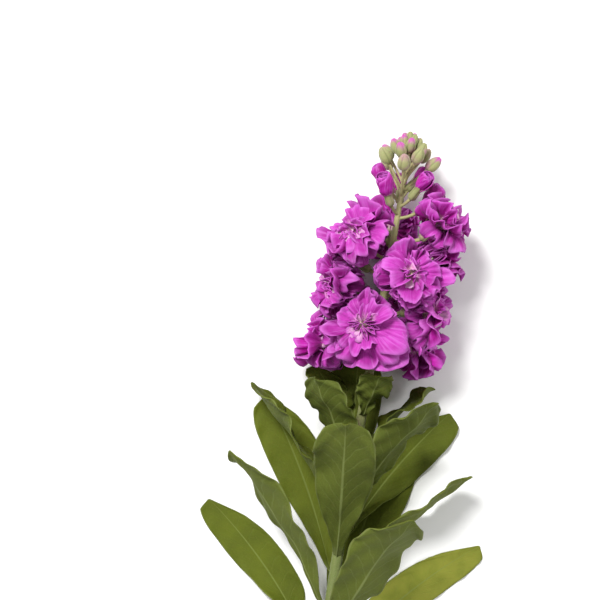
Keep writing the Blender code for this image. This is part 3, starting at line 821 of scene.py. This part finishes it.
def make_opening_bud(bud, looks):
    """Petals furled round one another, standing out of their sepals."""
    fine = random.Random(bud["name"] + " petals")
    bm = new_mesh()
    for k in range(FURL_PETALS):
        shade = FURL_SHADE + fine.uniform(*FURL_SHADE_SPREAD)
        made = add_sheet(bm, FURL_GRID, furled_place(bud, k, fine), shade)
        for vertex in made:
            vertex.co.z = max(vertex.co.z, PETAL_LIFT)
    name = bud["name"]
    finished_piece(name + "_petals", bm, looks, [name], PETAL_THICKNESS)


def add_pedicel(bm, root, foot, radius, bow):
    """A thin stalk from inside the stem to the foot of a bloom or bud, bowed a little."""
    direction = (foot - root).normalized()
    rings = []
    for i in range(PEDICEL_RINGS):
        share = i / (PEDICEL_RINGS - 1)
        centre = root.lerp(foot, share) - ALONG * bow * math.sin(math.pi * share)
        low, high = PEDICEL_SWELL
        swell = 1 + low * max(0, 1 - share * 3.5) + high * max(0, share * 4 - 3)
        rings.append(ring_points(centre, direction, radius * swell, PEDICEL_SIDES))
    add_tube(bm, rings, MIDDLE_SHADE)


def add_sepals(bm, bloom, fine):
    """A tube of four felted sepals whose tips part round the petals' claws."""
    facing, length = bloom["facing"], bloom["calyx"]
    foot = bloom["hub"] - facing * length
    turn_from = fine.uniform(0, TURN)
    rings = []
    for height, width, parted in SEPAL_RINGS:

        def outline(lobe):
            tall = height - parted * SEPAL_TIP_DROP * (1 - lobe ** SEPAL_TIP_POWER)
            groove = (1 - lobe) ** SEPAL_GROOVE_POWER
            return CALYX_RADIUS * width * (1 - SEPAL_GROOVE * groove), length * tall

        rings.append(sepal_ring(foot, facing, turn_from, outline))
    add_tube(bm, rings, SEPAL_SHADE + fine.uniform(*SEPAL_SHADE_SPREAD), 1)


def add_closed_bud(bm, bud, fine):
    """A felted green bud, its four sepals meeting along shallow grooves."""
    facing = bud["facing"]
    turn_from = fine.uniform(0, TURN)
    widths = [width for _, width in CLOSED_PROFILE]
    heights = [height for height, _ in CLOSED_PROFILE]
    rings = []
    for i in range(CLOSED_RINGS + 1):
        place = i / CLOSED_RINGS * (len(widths) - 1)
        height, width = curve_through(heights, place), curve_through(widths, place)

        def outline(lobe):
            groove = (1 - lobe) ** SEPAL_GROOVE_POWER
            tall = height - SEPAL_PARTING * groove * eased((height - 0.5) * 2)
            return bud["radius"] * width * (1 - SEPAL_GROOVE * groove), bud["length"] * tall

        rings.append(sepal_ring(bud["foot"], facing, turn_from, outline))
    shade = MIDDLE_SHADE + fine.uniform(*CLOSED_SHADE_SPREAD)
    add_tube(bm, rings, shade, 1, max(0, fine.uniform(*CLOSED_COLOUR_SHOWN)))


def leaf_share(index):
    """A leaf's place in the row of leaves: 0 is the top leaf and 1 the lowest."""
    return index / (LEAF_COUNT - 1)


def leaf_away(index):
    return outward(LEAF_FIRST_AZIMUTH + index * GOLDEN_ANGLE)


def scar_places():
    """The middles of the scars that stripped leaves have left down the bare lower stem."""
    step = (LEAF_Y[0] - LEAF_Y[1]) / (LEAF_COUNT - 1)
    scars = []
    index = LEAF_COUNT
    while mix(LEAF_Y, leaf_share(index)) > CUT_END_Y + step:
        y = mix(LEAF_Y, leaf_share(index))
        scars.append(stem_point(y) + leaf_away(index) * along_table(STEM_RADII, y))
        index += 1
    return scars


def add_stem(bm):
    """The stem itself, faintly ribbed, with leaf scars low down and a cut face with its pith.

    The scars and the pith have a reach below 0, by which the stem's skin colours them.
    """
    scars = scar_places()
    count = round((TIP_Y - CUT_END_Y) / STEM_RING_STEP)
    rings = []
    end = stem_point(CUT_END_Y)
    for share, sink in CUT_FACE_RINGS:
        rings.append(ring_points(end + ALONG * sink, ALONG, STEM_RADII[0][1] * share, STEM_SIDES))
    for i in range(count + 1):
        y = mix((CUT_END_Y + CUT_EDGE, TIP_Y), i / count)
        centre, direction, radius = stem_point(y), stem_direction(y), along_table(STEM_RADII, y)
        matrix = basis_on(direction)
        ring = []
        for k in range(STEM_SIDES):
            turn = TURN * k / STEM_SIDES
            ribbed = 1 + STEM_RIB_DEPTH * math.cos(STEM_RIBS * turn + y * STEM_RIB_TWIST)
            around = matrix @ round_at(turn)
            point = centre + around * radius * ribbed
            for scar in scars:
                away = (point - scar).length / SCAR_REACH
                point += around * SCAR_HEIGHT * math.exp(-away ** 2 * SCAR_STEEPNESS)
            point.z = max(point.z, 0)
            ring.append(point)
        rings.append(ring)
    reached = bm.verts.layers.float["reach"]
    for vertex in add_tube(bm, rings, MIDDLE_SHADE):
        scarred = max(math.exp(-((vertex.co - scar).length / SCAR_MARK) ** 4) for scar in scars)
        from_end = vertex.co - end
        if from_end.y < PITH_DEPTH and from_end.length < PITH_RADIUS:
            scarred = 1
        vertex[reached] = -scarred


def make_stem(blooms, closed_buds, looks):
    """The stem with every stalk, sepal tube and green bud that grows from it."""
    fine = random.Random("stem")
    bm = new_mesh()
    add_stem(bm)
    for bloom in blooms:
        foot = bloom["hub"] - bloom["facing"] * bloom["calyx"]
        add_pedicel(bm, stem_point(bloom["root_y"]), foot, PEDICEL_RADIUS, PEDICEL_BOW)
        add_sepals(bm, bloom, fine)
    for bud in closed_buds:
        add_pedicel(bm, bud["root"], bud["foot"] + bud["facing"] * STALK_SINK, CLOSED_STALK_RADIUS, 0)
        add_closed_bud(bm, bud, fine)
    bmesh.ops.recalc_face_normals(bm, faces=bm.faces[:])
    finished_piece("stem_with_buds", bm, looks, ["stem"])


def leaf_root(index):
    """Where a leaf's middle starts, just off the stem."""
    root_y = mix(LEAF_Y, leaf_share(index))
    clear = along_table(STEM_RADII, root_y) + SEAT_GAP + LEAF_SOLID_THICKNESS
    return stem_point(root_y) + leaf_away(index) * clear


def leaf_line(index, length, floor):
    """The middle line of a leaf, which leans out from the stem and bends where it meets the table."""
    share = leaf_share(index)
    away = leaf_away(index)
    leans = (along_table(LEAF_ROOT_LEAN, share), along_table(LEAF_TIP_LEAN, share))
    line = [leaf_root(index)]
    for before, u in zip(LEAF_PLACES, LEAF_PLACES[1:]):
        lean = mix(leans, u)
        step = (ALONG * math.cos(lean) + away * math.sin(lean)) * length * (u - before)
        ahead = line[-1] + step
        ahead.z = eased_onto(floor, ahead.z)
        line.append(line[-1] + (ahead - line[-1]).normalized() * step.length)
    return line


def leaf_rows(index, order_on_table):
    """Rows of points along the middle of one leaf, turned flat and bent clear where it meets the table."""
    draw = random.Random(SEED + index)
    share = leaf_share(index)
    side = leaf_away(index).cross(ALONG)
    length = along_table(LEAF_LENGTH, share) * draw.uniform(*LEAF_SIZE)
    half_width = along_table(LEAF_HALF_WIDTH, share) * draw.uniform(*LEAF_SIZE)
    phase = draw.uniform(0, TURN)
    floor = LEAF_SOLID_THICKNESS / 2 + TABLE_LAYER * order_on_table
    line = leaf_line(index, length, floor)
    rows = []
    for i, u in enumerate(LEAF_PLACES):
        tangent = line[min(i + 1, len(line) - 1)] - line[max(i - 1, 0)]
        settled = max(0, 1 - max(0, line[i].z - floor) / LEAF_SETTLE_HEIGHT) * min(1, u / LEAF_WAVE_START)
        across = Vector((side.x, side.y, side.z * (1 - settled))).normalized()
        up = tangent.cross(across).normalized()
        half = max(LEAF_ROOT_HALF_WIDTH, half_width * along_table(LEAF_PROFILE, u))
        row = []
        for k in range(LEAF_COLUMNS + 1):
            v = 2 * k / LEAF_COLUMNS - 1
            wave = LEAF_WAVE * math.sin(TURN * LEAF_WAVES * u + phase + (LEAF_WAVE_OFFSET if v < 0 else 0))
            grown = min(1, u / LEAF_WAVE_START)
            lift = wave * abs(v) ** LEAF_WAVE_POWER * grown - LEAF_TROUGH * half * abs(v)
            point = line[i] + across * (v * half) + up * lift * (1 - LEAF_PRESSED_FLAT * settled)
            point.z = mix((eased_onto(floor, point.z), floor), settled ** 2)
            row.append(point)
        rows.append(row)
    return rows


def make_leaf(index, looks):
    """One leaf through the rows of its plan, with its midrib, puffed between the veins and frilled."""
    fine = random.Random(f"leaf {index}")
    rows = leaf_rows(index, (LEAF_COUNT - 1 - index) // LEAVES_PER_TABLE_LAYER)
    away = leaf_away(index)
    last = len(rows) - 1
    phases = (fine.uniform(0, TURN), fine.uniform(0, TURN))
    frill = fine.uniform(*LEAF_FRILL)
    billows = [(along, across, size, fine.uniform(0, TURN)) for along, across, size in LEAF_BILLOWS]

    def middle(u, v):
        s = (last - LEAF_TIP_ROUNDING * abs(v) ** LEAF_TIP_POWER) * u
        row = [curve_through([row[k] for row in rows], s) for k in range(LEAF_COLUMNS + 1)]
        return curve_through(row, (v + 1) / 2 * LEAF_COLUMNS)

    def place(u, x):
        v = math.copysign(abs(x) ** LEAF_COLUMN_POWER, x)
        step = 0.01
        point = middle(u, v)
        lengthwise = middle(min(1, u + step), v) - middle(max(0, u - step), v)
        sideways = middle(u, min(1, v + step)) - middle(u, max(-1, v - step))
        normal = sideways.cross(lengthwise).normalized()
        grown = eased(u / LEAF_GROWN_AT)
        drop = LEAF_MIDRIB_DEPTH * math.exp(-(v / LEAF_MIDRIB_WIDTH) ** 2) * (1 - LEAF_MIDRIB_FADE * u)
        between = math.cos(TURN * (LEAF_VEINS * u - LEAF_VEIN_SLANT * abs(v)))
        puff = LEAF_PUFF * between * grown * min(1, abs(v) * 3) * (1 - abs(v) ** 4)
        phase = phases[0] if v > 0 else phases[1]
        edge = LEAF_EDGE_WAVE * frill * math.sin(TURN * LEAF_EDGE_WAVES * u + phase) * grown
        edge *= abs(v) ** LEAF_EDGE_POWER
        billow = sum(size * math.sin(TURN * (along * u + across * v) + phase)
                     for along, across, size, phase in billows)
        billow *= grown * min(1, point.z / LEAF_SETTLE_HEIGHT)
        point += normal * (puff + edge + billow - drop)
        point -= away * mix(LEAF_ROOT_SINK, v * v) * (1 - eased(u / LEAF_ROOT_PART))
        point.z = max(point.z, LEAF_THICKNESS)
        return point

    bm = new_mesh()
    age = mix(LEAF_AGEING, leaf_share(index)) + fine.uniform(-1, 1) * LEAF_AGEING_SPREAD
    add_sheet(bm, LEAF_GRID, place, age)
    name = f"leaf_{index + 1:02d}"
    finished_piece(name + "_blade", bm, looks, [name], LEAF_THICKNESS)


class Nodes:
    """A material's or a group's node tree, with short ways to add nodes and join them."""

    def __init__(self, tree):
        self.tree = tree

    def feed(self, socket, value):
        """Joins an input to an output, or sets its value."""
        if isinstance(value, bpy.types.NodeSocket):
            self.tree.links.new(value, socket)
        else:
            socket.default_value = value

    def feed_first(self, node, values):
        for socket, value in zip(node.inputs, values):
            self.feed(socket, value)
        return node.outputs[0]

    def add(self, kind, settings=None, **inputs):
        node = self.tree.nodes.new(kind)
        for key, value in (settings or {}).items():
            setattr(node, key, value)
        for key, value in inputs.items():
            self.feed(node.inputs[key], value)
        return node

    def maths(self, operation, *values):
        return self.feed_first(self.add("ShaderNodeMath", {"operation": operation}), values)

    def plus(self, first, second):
        return self.maths("ADD", first, second)

    def minus(self, first, second):
        return self.maths("SUBTRACT", first, second)

    def times(self, first, second):
        return self.maths("MULTIPLY", first, second)

    def ranged(self, value, low, high, to_low=0.0, to_high=1.0, smooth=True):
        """A value mapped from one range to another and held at its ends."""
        settings = {"interpolation_type": "SMOOTHSTEP" if smooth else "LINEAR"}
        return self.feed_first(self.add("ShaderNodeMapRange", settings), (value, low, high, to_low, to_high))

    def mixed(self, factor, first, second):
        node = self.add("ShaderNodeMix", {"data_type": "RGBA"})
        for index, value in ((0, factor), (6, first), (7, second)):
            self.feed(node.inputs[index], value)
        return node.outputs[2]

    def noise(self, vector, scale, detail=2.0, roughness=0.5):
        node = self.add("ShaderNodeTexNoise", Vector=vector, Scale=scale, Detail=detail, Roughness=roughness)
        return node.outputs[0]

    def attribute(self, name):
        return self.add("ShaderNodeAttribute", {"attribute_name": name}).outputs["Fac"]

    def place(self):
        return self.add("ShaderNodeTexCoord").outputs["Object"]

    def uv(self):
        return self.add("ShaderNodeUVMap", {"uv_map": "UVMap"}).outputs[0]

    def parts(self, vector):
        """A vector's three coordinates."""
        return self.add("ShaderNodeSeparateXYZ", Vector=vector).outputs

    def group(self, tree, **inputs):
        return self.add("ShaderNodeGroup", {"node_tree": tree}, **inputs).outputs

    def finish(self, shader, colour, roughness, height, strength, depth):
        """Joins a colour, a roughness and a bump to the shader's inputs."""
        bump = self.add("ShaderNodeBump", Strength=strength, Distance=depth, Height=height)
        self.feed(shader["Base Color"], colour)
        self.feed(shader["Roughness"], roughness)
        self.feed(shader["Normal"], bump.outputs[0])


def new_group(name, inputs, outputs):
    """A node group with named inputs, each with its kind and value, and named outputs that are numbers."""
    tree = bpy.data.node_groups.new(name, "ShaderNodeTree")
    for label, kind, value in inputs:
        socket = tree.interface.new_socket(label, in_out="INPUT", socket_type=kind)
        if value is not None:
            socket.default_value = value
    for label in outputs:
        tree.interface.new_socket(label, in_out="OUTPUT", socket_type="NodeSocketFloat")
    return Nodes(tree), tree.nodes.new("NodeGroupInput").outputs, tree.nodes.new("NodeGroupOutput").inputs


def felt_group():
    """Short pale hairs: a speckle that lightens the colour, and its height for a bump."""
    inputs = [("Vector", "NodeSocketVector", None), ("Scale", "NodeSocketFloat", STEM_FELT_SCALE)]
    nodes, given, out = new_group("felt", inputs, ["Speckle", "Height"])
    fine = nodes.noise(given["Vector"], given["Scale"], 3.0, 0.65)
    coarse = nodes.noise(given["Vector"], nodes.times(given["Scale"], 0.18), 2.0, 0.6)
    clumps = nodes.ranged(coarse, 0.25, 0.7, 0.5, 1.0)
    nodes.feed(out["Speckle"], nodes.times(nodes.ranged(fine, 0.42, 0.72), clumps))
    nodes.feed(out["Height"], nodes.plus(fine, nodes.times(coarse, 0.6)))
    return nodes.tree


def streak_group():
    """Veins that fan along a petal: where they darken and lighten it, and their height for a bump."""
    inputs = [("UV", "NodeSocketVector", None), ("Shade", "NodeSocketFloat", 0.5)]
    nodes, given, out = new_group("petal_streaks", inputs, ["Mask", "Light", "Height"])
    across, along, _ = nodes.parts(given["UV"])
    stretched = nodes.add("ShaderNodeCombineXYZ", X=nodes.times(across, STREAKS_ACROSS),
                          Y=nodes.times(along, STREAKS_ALONG), Z=nodes.times(given["Shade"], STREAKS_APART))
    streaks = nodes.noise(stretched.outputs[0], 1.0, 2.0, 0.55)
    nodes.feed(out["Mask"], nodes.ranged(streaks, 0.45, 0.70))
    nodes.feed(out["Light"], nodes.ranged(streaks, 0.30, 0.50, 1.0, 0.0))
    nodes.feed(out["Height"], streaks)
    return nodes.tree


def new_material(name, sheen=0.0, sheen_tint=rgb(1, 1, 1), subsurface=0.0, specular=0.5):
    """A material with its shader's uniform values set, its nodes and its shader's inputs."""
    made = bpy.data.materials.new(name)
    made.use_nodes = True
    shader = made.node_tree.nodes["Principled BSDF"].inputs
    shader["Sheen Weight"].default_value = sheen
    shader["Sheen Tint"].default_value = sheen_tint
    shader["Sheen Roughness"].default_value = SHEEN_ROUGHNESS
    shader["Specular IOR Level"].default_value = specular
    shader["Subsurface Weight"].default_value = subsurface
    shader["Subsurface Radius"].default_value = LIGHT_SPREAD
    shader["Subsurface Scale"].default_value = LIGHT_DEPTH
    return made, Nodes(made.node_tree), shader


def petal_material(name, streaks, look):
    """A petal: deeper or lighter by petal, streaked with veins, pale at the claw, and lightened towards its
    tip and rim by a painted highlight.
    """
    made, nodes, shader = new_material(name, 0.06, rgb(1, 0.7, 1), 0.15, 0.2)
    uv, place, shade = nodes.uv(), nodes.place(), nodes.attribute("shade")
    along = nodes.parts(uv)[1]
    veins = nodes.group(streaks, UV=uv, Shade=shade)
    patches = nodes.noise(place, PETAL_PATCH_SCALE, 3.0, 0.6)
    tone = nodes.plus(shade, nodes.times(nodes.minus(patches, 0.5), 1.5))
    colour = nodes.mixed(nodes.ranged(tone, 0.0, 1.0, smooth=False), look["deep"], look["light"])
    colour = nodes.mixed(nodes.times(veins["Mask"], look["streaks"]), colour, look["deep"])
    colour = nodes.mixed(nodes.times(veins["Light"], look["streaks"]), colour, look["rim"])
    # Painted highlight: the outer fifth of each petal, towards its tip and rim, is lightened to the lilac rim
    # colour.
    colour = nodes.mixed(nodes.times(nodes.ranged(along, 0.80, 1.0), 0.45), colour, look["rim"])
    blurred = nodes.plus(along, nodes.times(veins["Mask"], -0.12))
    towards_tip = nodes.maths("DIVIDE", blurred, nodes.maths("MAXIMUM", nodes.attribute("reach"), 0.01))
    colour = nodes.mixed(nodes.ranged(towards_tip, 0.35, 1.0, 1.0, 0.0), colour, look["pale"])
    colour = nodes.mixed(nodes.ranged(towards_tip, 0.1, 0.6, 1.0, 0.0), colour, look["claw"])
    gloss = nodes.times(nodes.plus(patches, veins["Height"]), 0.5)
    roughness = nodes.ranged(gloss, 0.35, 0.65, *look["roughness"], smooth=False)
    cells = nodes.noise(place, PETAL_CELL_SCALE, 1.0)
    height = nodes.plus(veins["Height"], nodes.times(cells, 0.25))
    nodes.finish(shader, colour, roughness, height, *PETAL_BUMP)
    return made


def leaf_material(name, felt, look):
    """A leaf's face: olive mottling, a pale midrib, a painted highlight along its edges in the midrib's
    colour, faint side veins and fine pale felt.
    """
    made, nodes, shader = new_material(name, 0.05, rgb(0.85, 0.95, 0.35), 0.06, 0.12)
    place, shade = nodes.place(), nodes.attribute("shade")
    across, along, _ = nodes.parts(nodes.uv())
    side = nodes.maths("ABSOLUTE", nodes.minus(nodes.times(across, 2.0), 1.0))
    side = nodes.maths("POWER", side, LEAF_COLUMN_POWER)
    patches = nodes.noise(place, LEAF_PATCH_SCALE, 3.0, 0.55)
    tone = nodes.ranged(nodes.times(nodes.plus(shade, patches), 0.55), 0.1, 0.85, smooth=False)
    colour = nodes.mixed(tone, look["deep"], look["light"])
    ageing = nodes.times(nodes.ranged(shade, 0.60, 0.86), nodes.ranged(patches, 0.30, 0.65, 0.35, 1.0))
    colour = nodes.mixed(ageing, colour, look["aged"])
    wobble = nodes.times(nodes.noise(place, VEIN_WOBBLE_SCALE), 0.5)
    phase = nodes.minus(nodes.times(along, float(LEAF_VEINS)), nodes.times(side, LEAF_VEIN_SLANT))
    phase = nodes.maths("FRACT", nodes.plus(nodes.plus(phase, wobble), 0.25))
    line = nodes.maths("ABSOLUTE", nodes.minus(phase, 0.5))
    veins = nodes.times(nodes.ranged(line, 0.0, 0.09, 1.0, 0.0), nodes.ranged(side, 0.55, 0.95, 1.0, 0.0))
    # Painted highlight: a thin band along each leaf's edges is lightened towards the pale rib colour, as if
    # it caught the light.
    edge_highlight = nodes.times(nodes.ranged(side, 0.93, 0.99), nodes.ranged(patches, 0.3, 0.6, 0.25, 0.6))
    width = nodes.ranged(along, 0.0, 1.0, 0.085, 0.012, smooth=False)
    rib = nodes.ranged(nodes.maths("DIVIDE", side, width), 0.35, 1.0, 1.0, 0.0)
    rib = nodes.times(rib, nodes.ranged(along, 0.05, 0.95, 0.95, 0.5, smooth=False))
    foot = nodes.ranged(along, 0.01, 0.09, 1.0, 0.0)
    for mask in (nodes.times(veins, look["veins"]), edge_highlight, rib, foot):
        colour = nodes.mixed(mask, colour, look["rib"])
    hairs = nodes.group(felt, Vector=place, Scale=LEAF_FELT_SCALE)
    colour = nodes.mixed(nodes.times(hairs["Speckle"], look["felt"]), colour, LEAF_HAIR)
    gloss = nodes.plus(nodes.times(patches, 0.6), nodes.times(hairs["Speckle"], 0.4))
    roughness = nodes.ranged(gloss, 0.2, 0.7, *LEAF_ROUGHNESS, smooth=False)
    height = nodes.plus(hairs["Height"], nodes.times(veins, -0.8))
    nodes.finish(shader, colour, roughness, height, *LEAF_BUMP)
    return made


def stem_material(name, felt, look):
    """Pale green skin with grey felt, yellower towards the tip and tinged with pink, with scars and pith, and
    painted shade in the grooves between sepals.
    """
    made, nodes, shader = new_material(name, 0.25, rgb(0.95, 1, 0.85), 0.1, 0.25)
    place, reach = nodes.place(), nodes.attribute("reach")
    around, along, _ = nodes.parts(nodes.uv())
    upwards = nodes.ranged(nodes.parts(place)[1], *STEM_YELLOWER_Y)
    colour = nodes.mixed(upwards, look["low"], look["high"])
    patches = nodes.noise(place, STEM_PATCH_SCALE, 3.0, 0.6)
    dark = nodes.plus(nodes.times(patches, 0.5), nodes.times(nodes.attribute("shade"), 0.4))
    colour = nodes.mixed(nodes.ranged(dark, 0.25, 0.75, 0.35, 0.0), colour, STEM_DARK)
    tinge = nodes.times(nodes.ranged(nodes.noise(place, BLUSH_SCALE), 0.46, 0.66), look["blushed"])
    colour = nodes.mixed(tinge, colour, look["blush"])
    # Painted shade: the grooves between the sepals are darkened, as strongly as each look's grooves share
    # says.
    lobe = nodes.maths("ABSOLUTE", nodes.maths("COSINE", nodes.times(around, TURN * SEPALS / 2)))
    groove = nodes.ranged(lobe, 0.0, 0.45, 1.0, 0.0)
    colour = nodes.mixed(nodes.times(groove, look["grooves"]), colour, GROOVE_PAINTED_SHADE)
    speckled = nodes.noise(place, SPECKLE_SCALE)
    towards_tip = nodes.plus(nodes.plus(along, nodes.times(speckled, 0.2)), nodes.times(groove, 0.12))
    tip = nodes.times(nodes.ranged(towards_tip, 0.70, 1.02), nodes.ranged(reach, 0.0, 0.5))
    colour = nodes.mixed(tip, colour, look["tip"])
    scarred = nodes.plus(reach, nodes.times(speckled, 0.4))
    colour = nodes.mixed(nodes.ranged(scarred, -0.6, 0.0, 0.9, 0.0), colour, SCAR_COLOUR)
    hairs = nodes.group(felt, Vector=place, Scale=STEM_FELT_SCALE)
    colour = nodes.mixed(nodes.times(hairs["Speckle"], 0.35), colour, STEM_HAIR)
    roughness = nodes.ranged(hairs["Speckle"], 0.0, 0.8, *STEM_ROUGHNESS, smooth=False)
    nodes.finish(shader, colour, roughness, hairs["Height"], *STEM_BUMP)
    return made


def floor_material():
    """A plain pale matt finish."""
    made, _, shader = new_material("pale_floor")
    shader["Base Color"].default_value = FLOOR_COLOUR
    shader["Roughness"].default_value = FLOOR_ROUGHNESS
    return made


def area_light(name, place, target, size, power):
    light = bpy.data.lights.new(name, "AREA")
    light.shape = "DISK"
    light.size = size
    light.energy = power
    lamp = bpy.data.objects.new(name, light)
    lamp.location = place
    lamp.rotation_euler = (Vector(target) - Vector(place)).to_track_quat("-Z", "Y").to_euler()
    bpy.context.scene.collection.objects.link(lamp)


def set_stage():
    """A pale floor, a bright even surround and two soft lamps from above."""
    bm = bmesh.new()
    bmesh.ops.create_grid(bm, x_segments=1, y_segments=1, size=FLOOR_HALF)
    mesh = bpy.data.meshes.new("floor")
    bm.to_mesh(mesh)
    bm.free()
    mesh.materials.append(floor_material())
    floor = bpy.data.objects.new("floor", mesh)
    bpy.context.scene.collection.objects.link(floor)
    world = bpy.data.worlds.new("surround")
    bpy.context.scene.world = world
    world.use_nodes = True
    background = world.node_tree.nodes["Background"].inputs
    background["Color"].default_value = rgb(1, 1, 1)
    background["Strength"].default_value = SURROUND
    for lamp in LAMPS:
        area_light(*lamp)


def set_camera():
    """A long lens straight above, turned so that the stem leans as it does in the photograph."""
    right = round_at(HEAD_LEAN)
    up = Vector((-math.sin(HEAD_LEAN), math.cos(HEAD_LEAN), 0))
    tip = stem_point(TIP_Y) + SHIFT + ALONG * TIP_OVER_PLAN
    half = PICTURE_SIDE / 2
    centre = tip - right * (TIP_PIXEL[0] - half) * PIXEL - up * (half - TIP_PIXEL[1]) * PIXEL
    camera = bpy.data.cameras.new("camera")
    camera.sensor_width = SENSOR
    camera.lens = SENSOR * (CAMERA_HEIGHT - HEAD_HEIGHT) / (PICTURE_SIDE * PIXEL)
    stand = bpy.data.objects.new("camera", camera)
    stand.location = (centre.x, centre.y, CAMERA_HEIGHT)
    stand.rotation_euler = (0, 0, HEAD_LEAN)
    bpy.context.scene.collection.objects.link(stand)
    bpy.context.scene.camera = stand
    bpy.context.scene.view_settings.view_transform = "Standard"


set_camera()
set_stage()

felt = felt_group()
streaks = streak_group()
petal_looks = [petal_material(name, streaks, look) for name, look in PETAL_LOOKS.items()]
leaf_looks = [leaf_material(name, felt, look) for name, look in LEAF_LOOKS.items()]
stem_looks = [stem_material(name, felt, look) for name, look in STEM_LOOKS.items()]

florets = plan_florets()
opening_buds = plan_opening_buds()
blooms = florets + opening_buds
make_stem(blooms, plan_closed_buds(), stem_looks)
for bloom in florets:
    make_floret(bloom, blooms, petal_looks)
for bud in opening_buds:
    make_opening_bud(bud, petal_looks)
for index in range(LEAF_COUNT):
    make_leaf(index, leaf_looks)
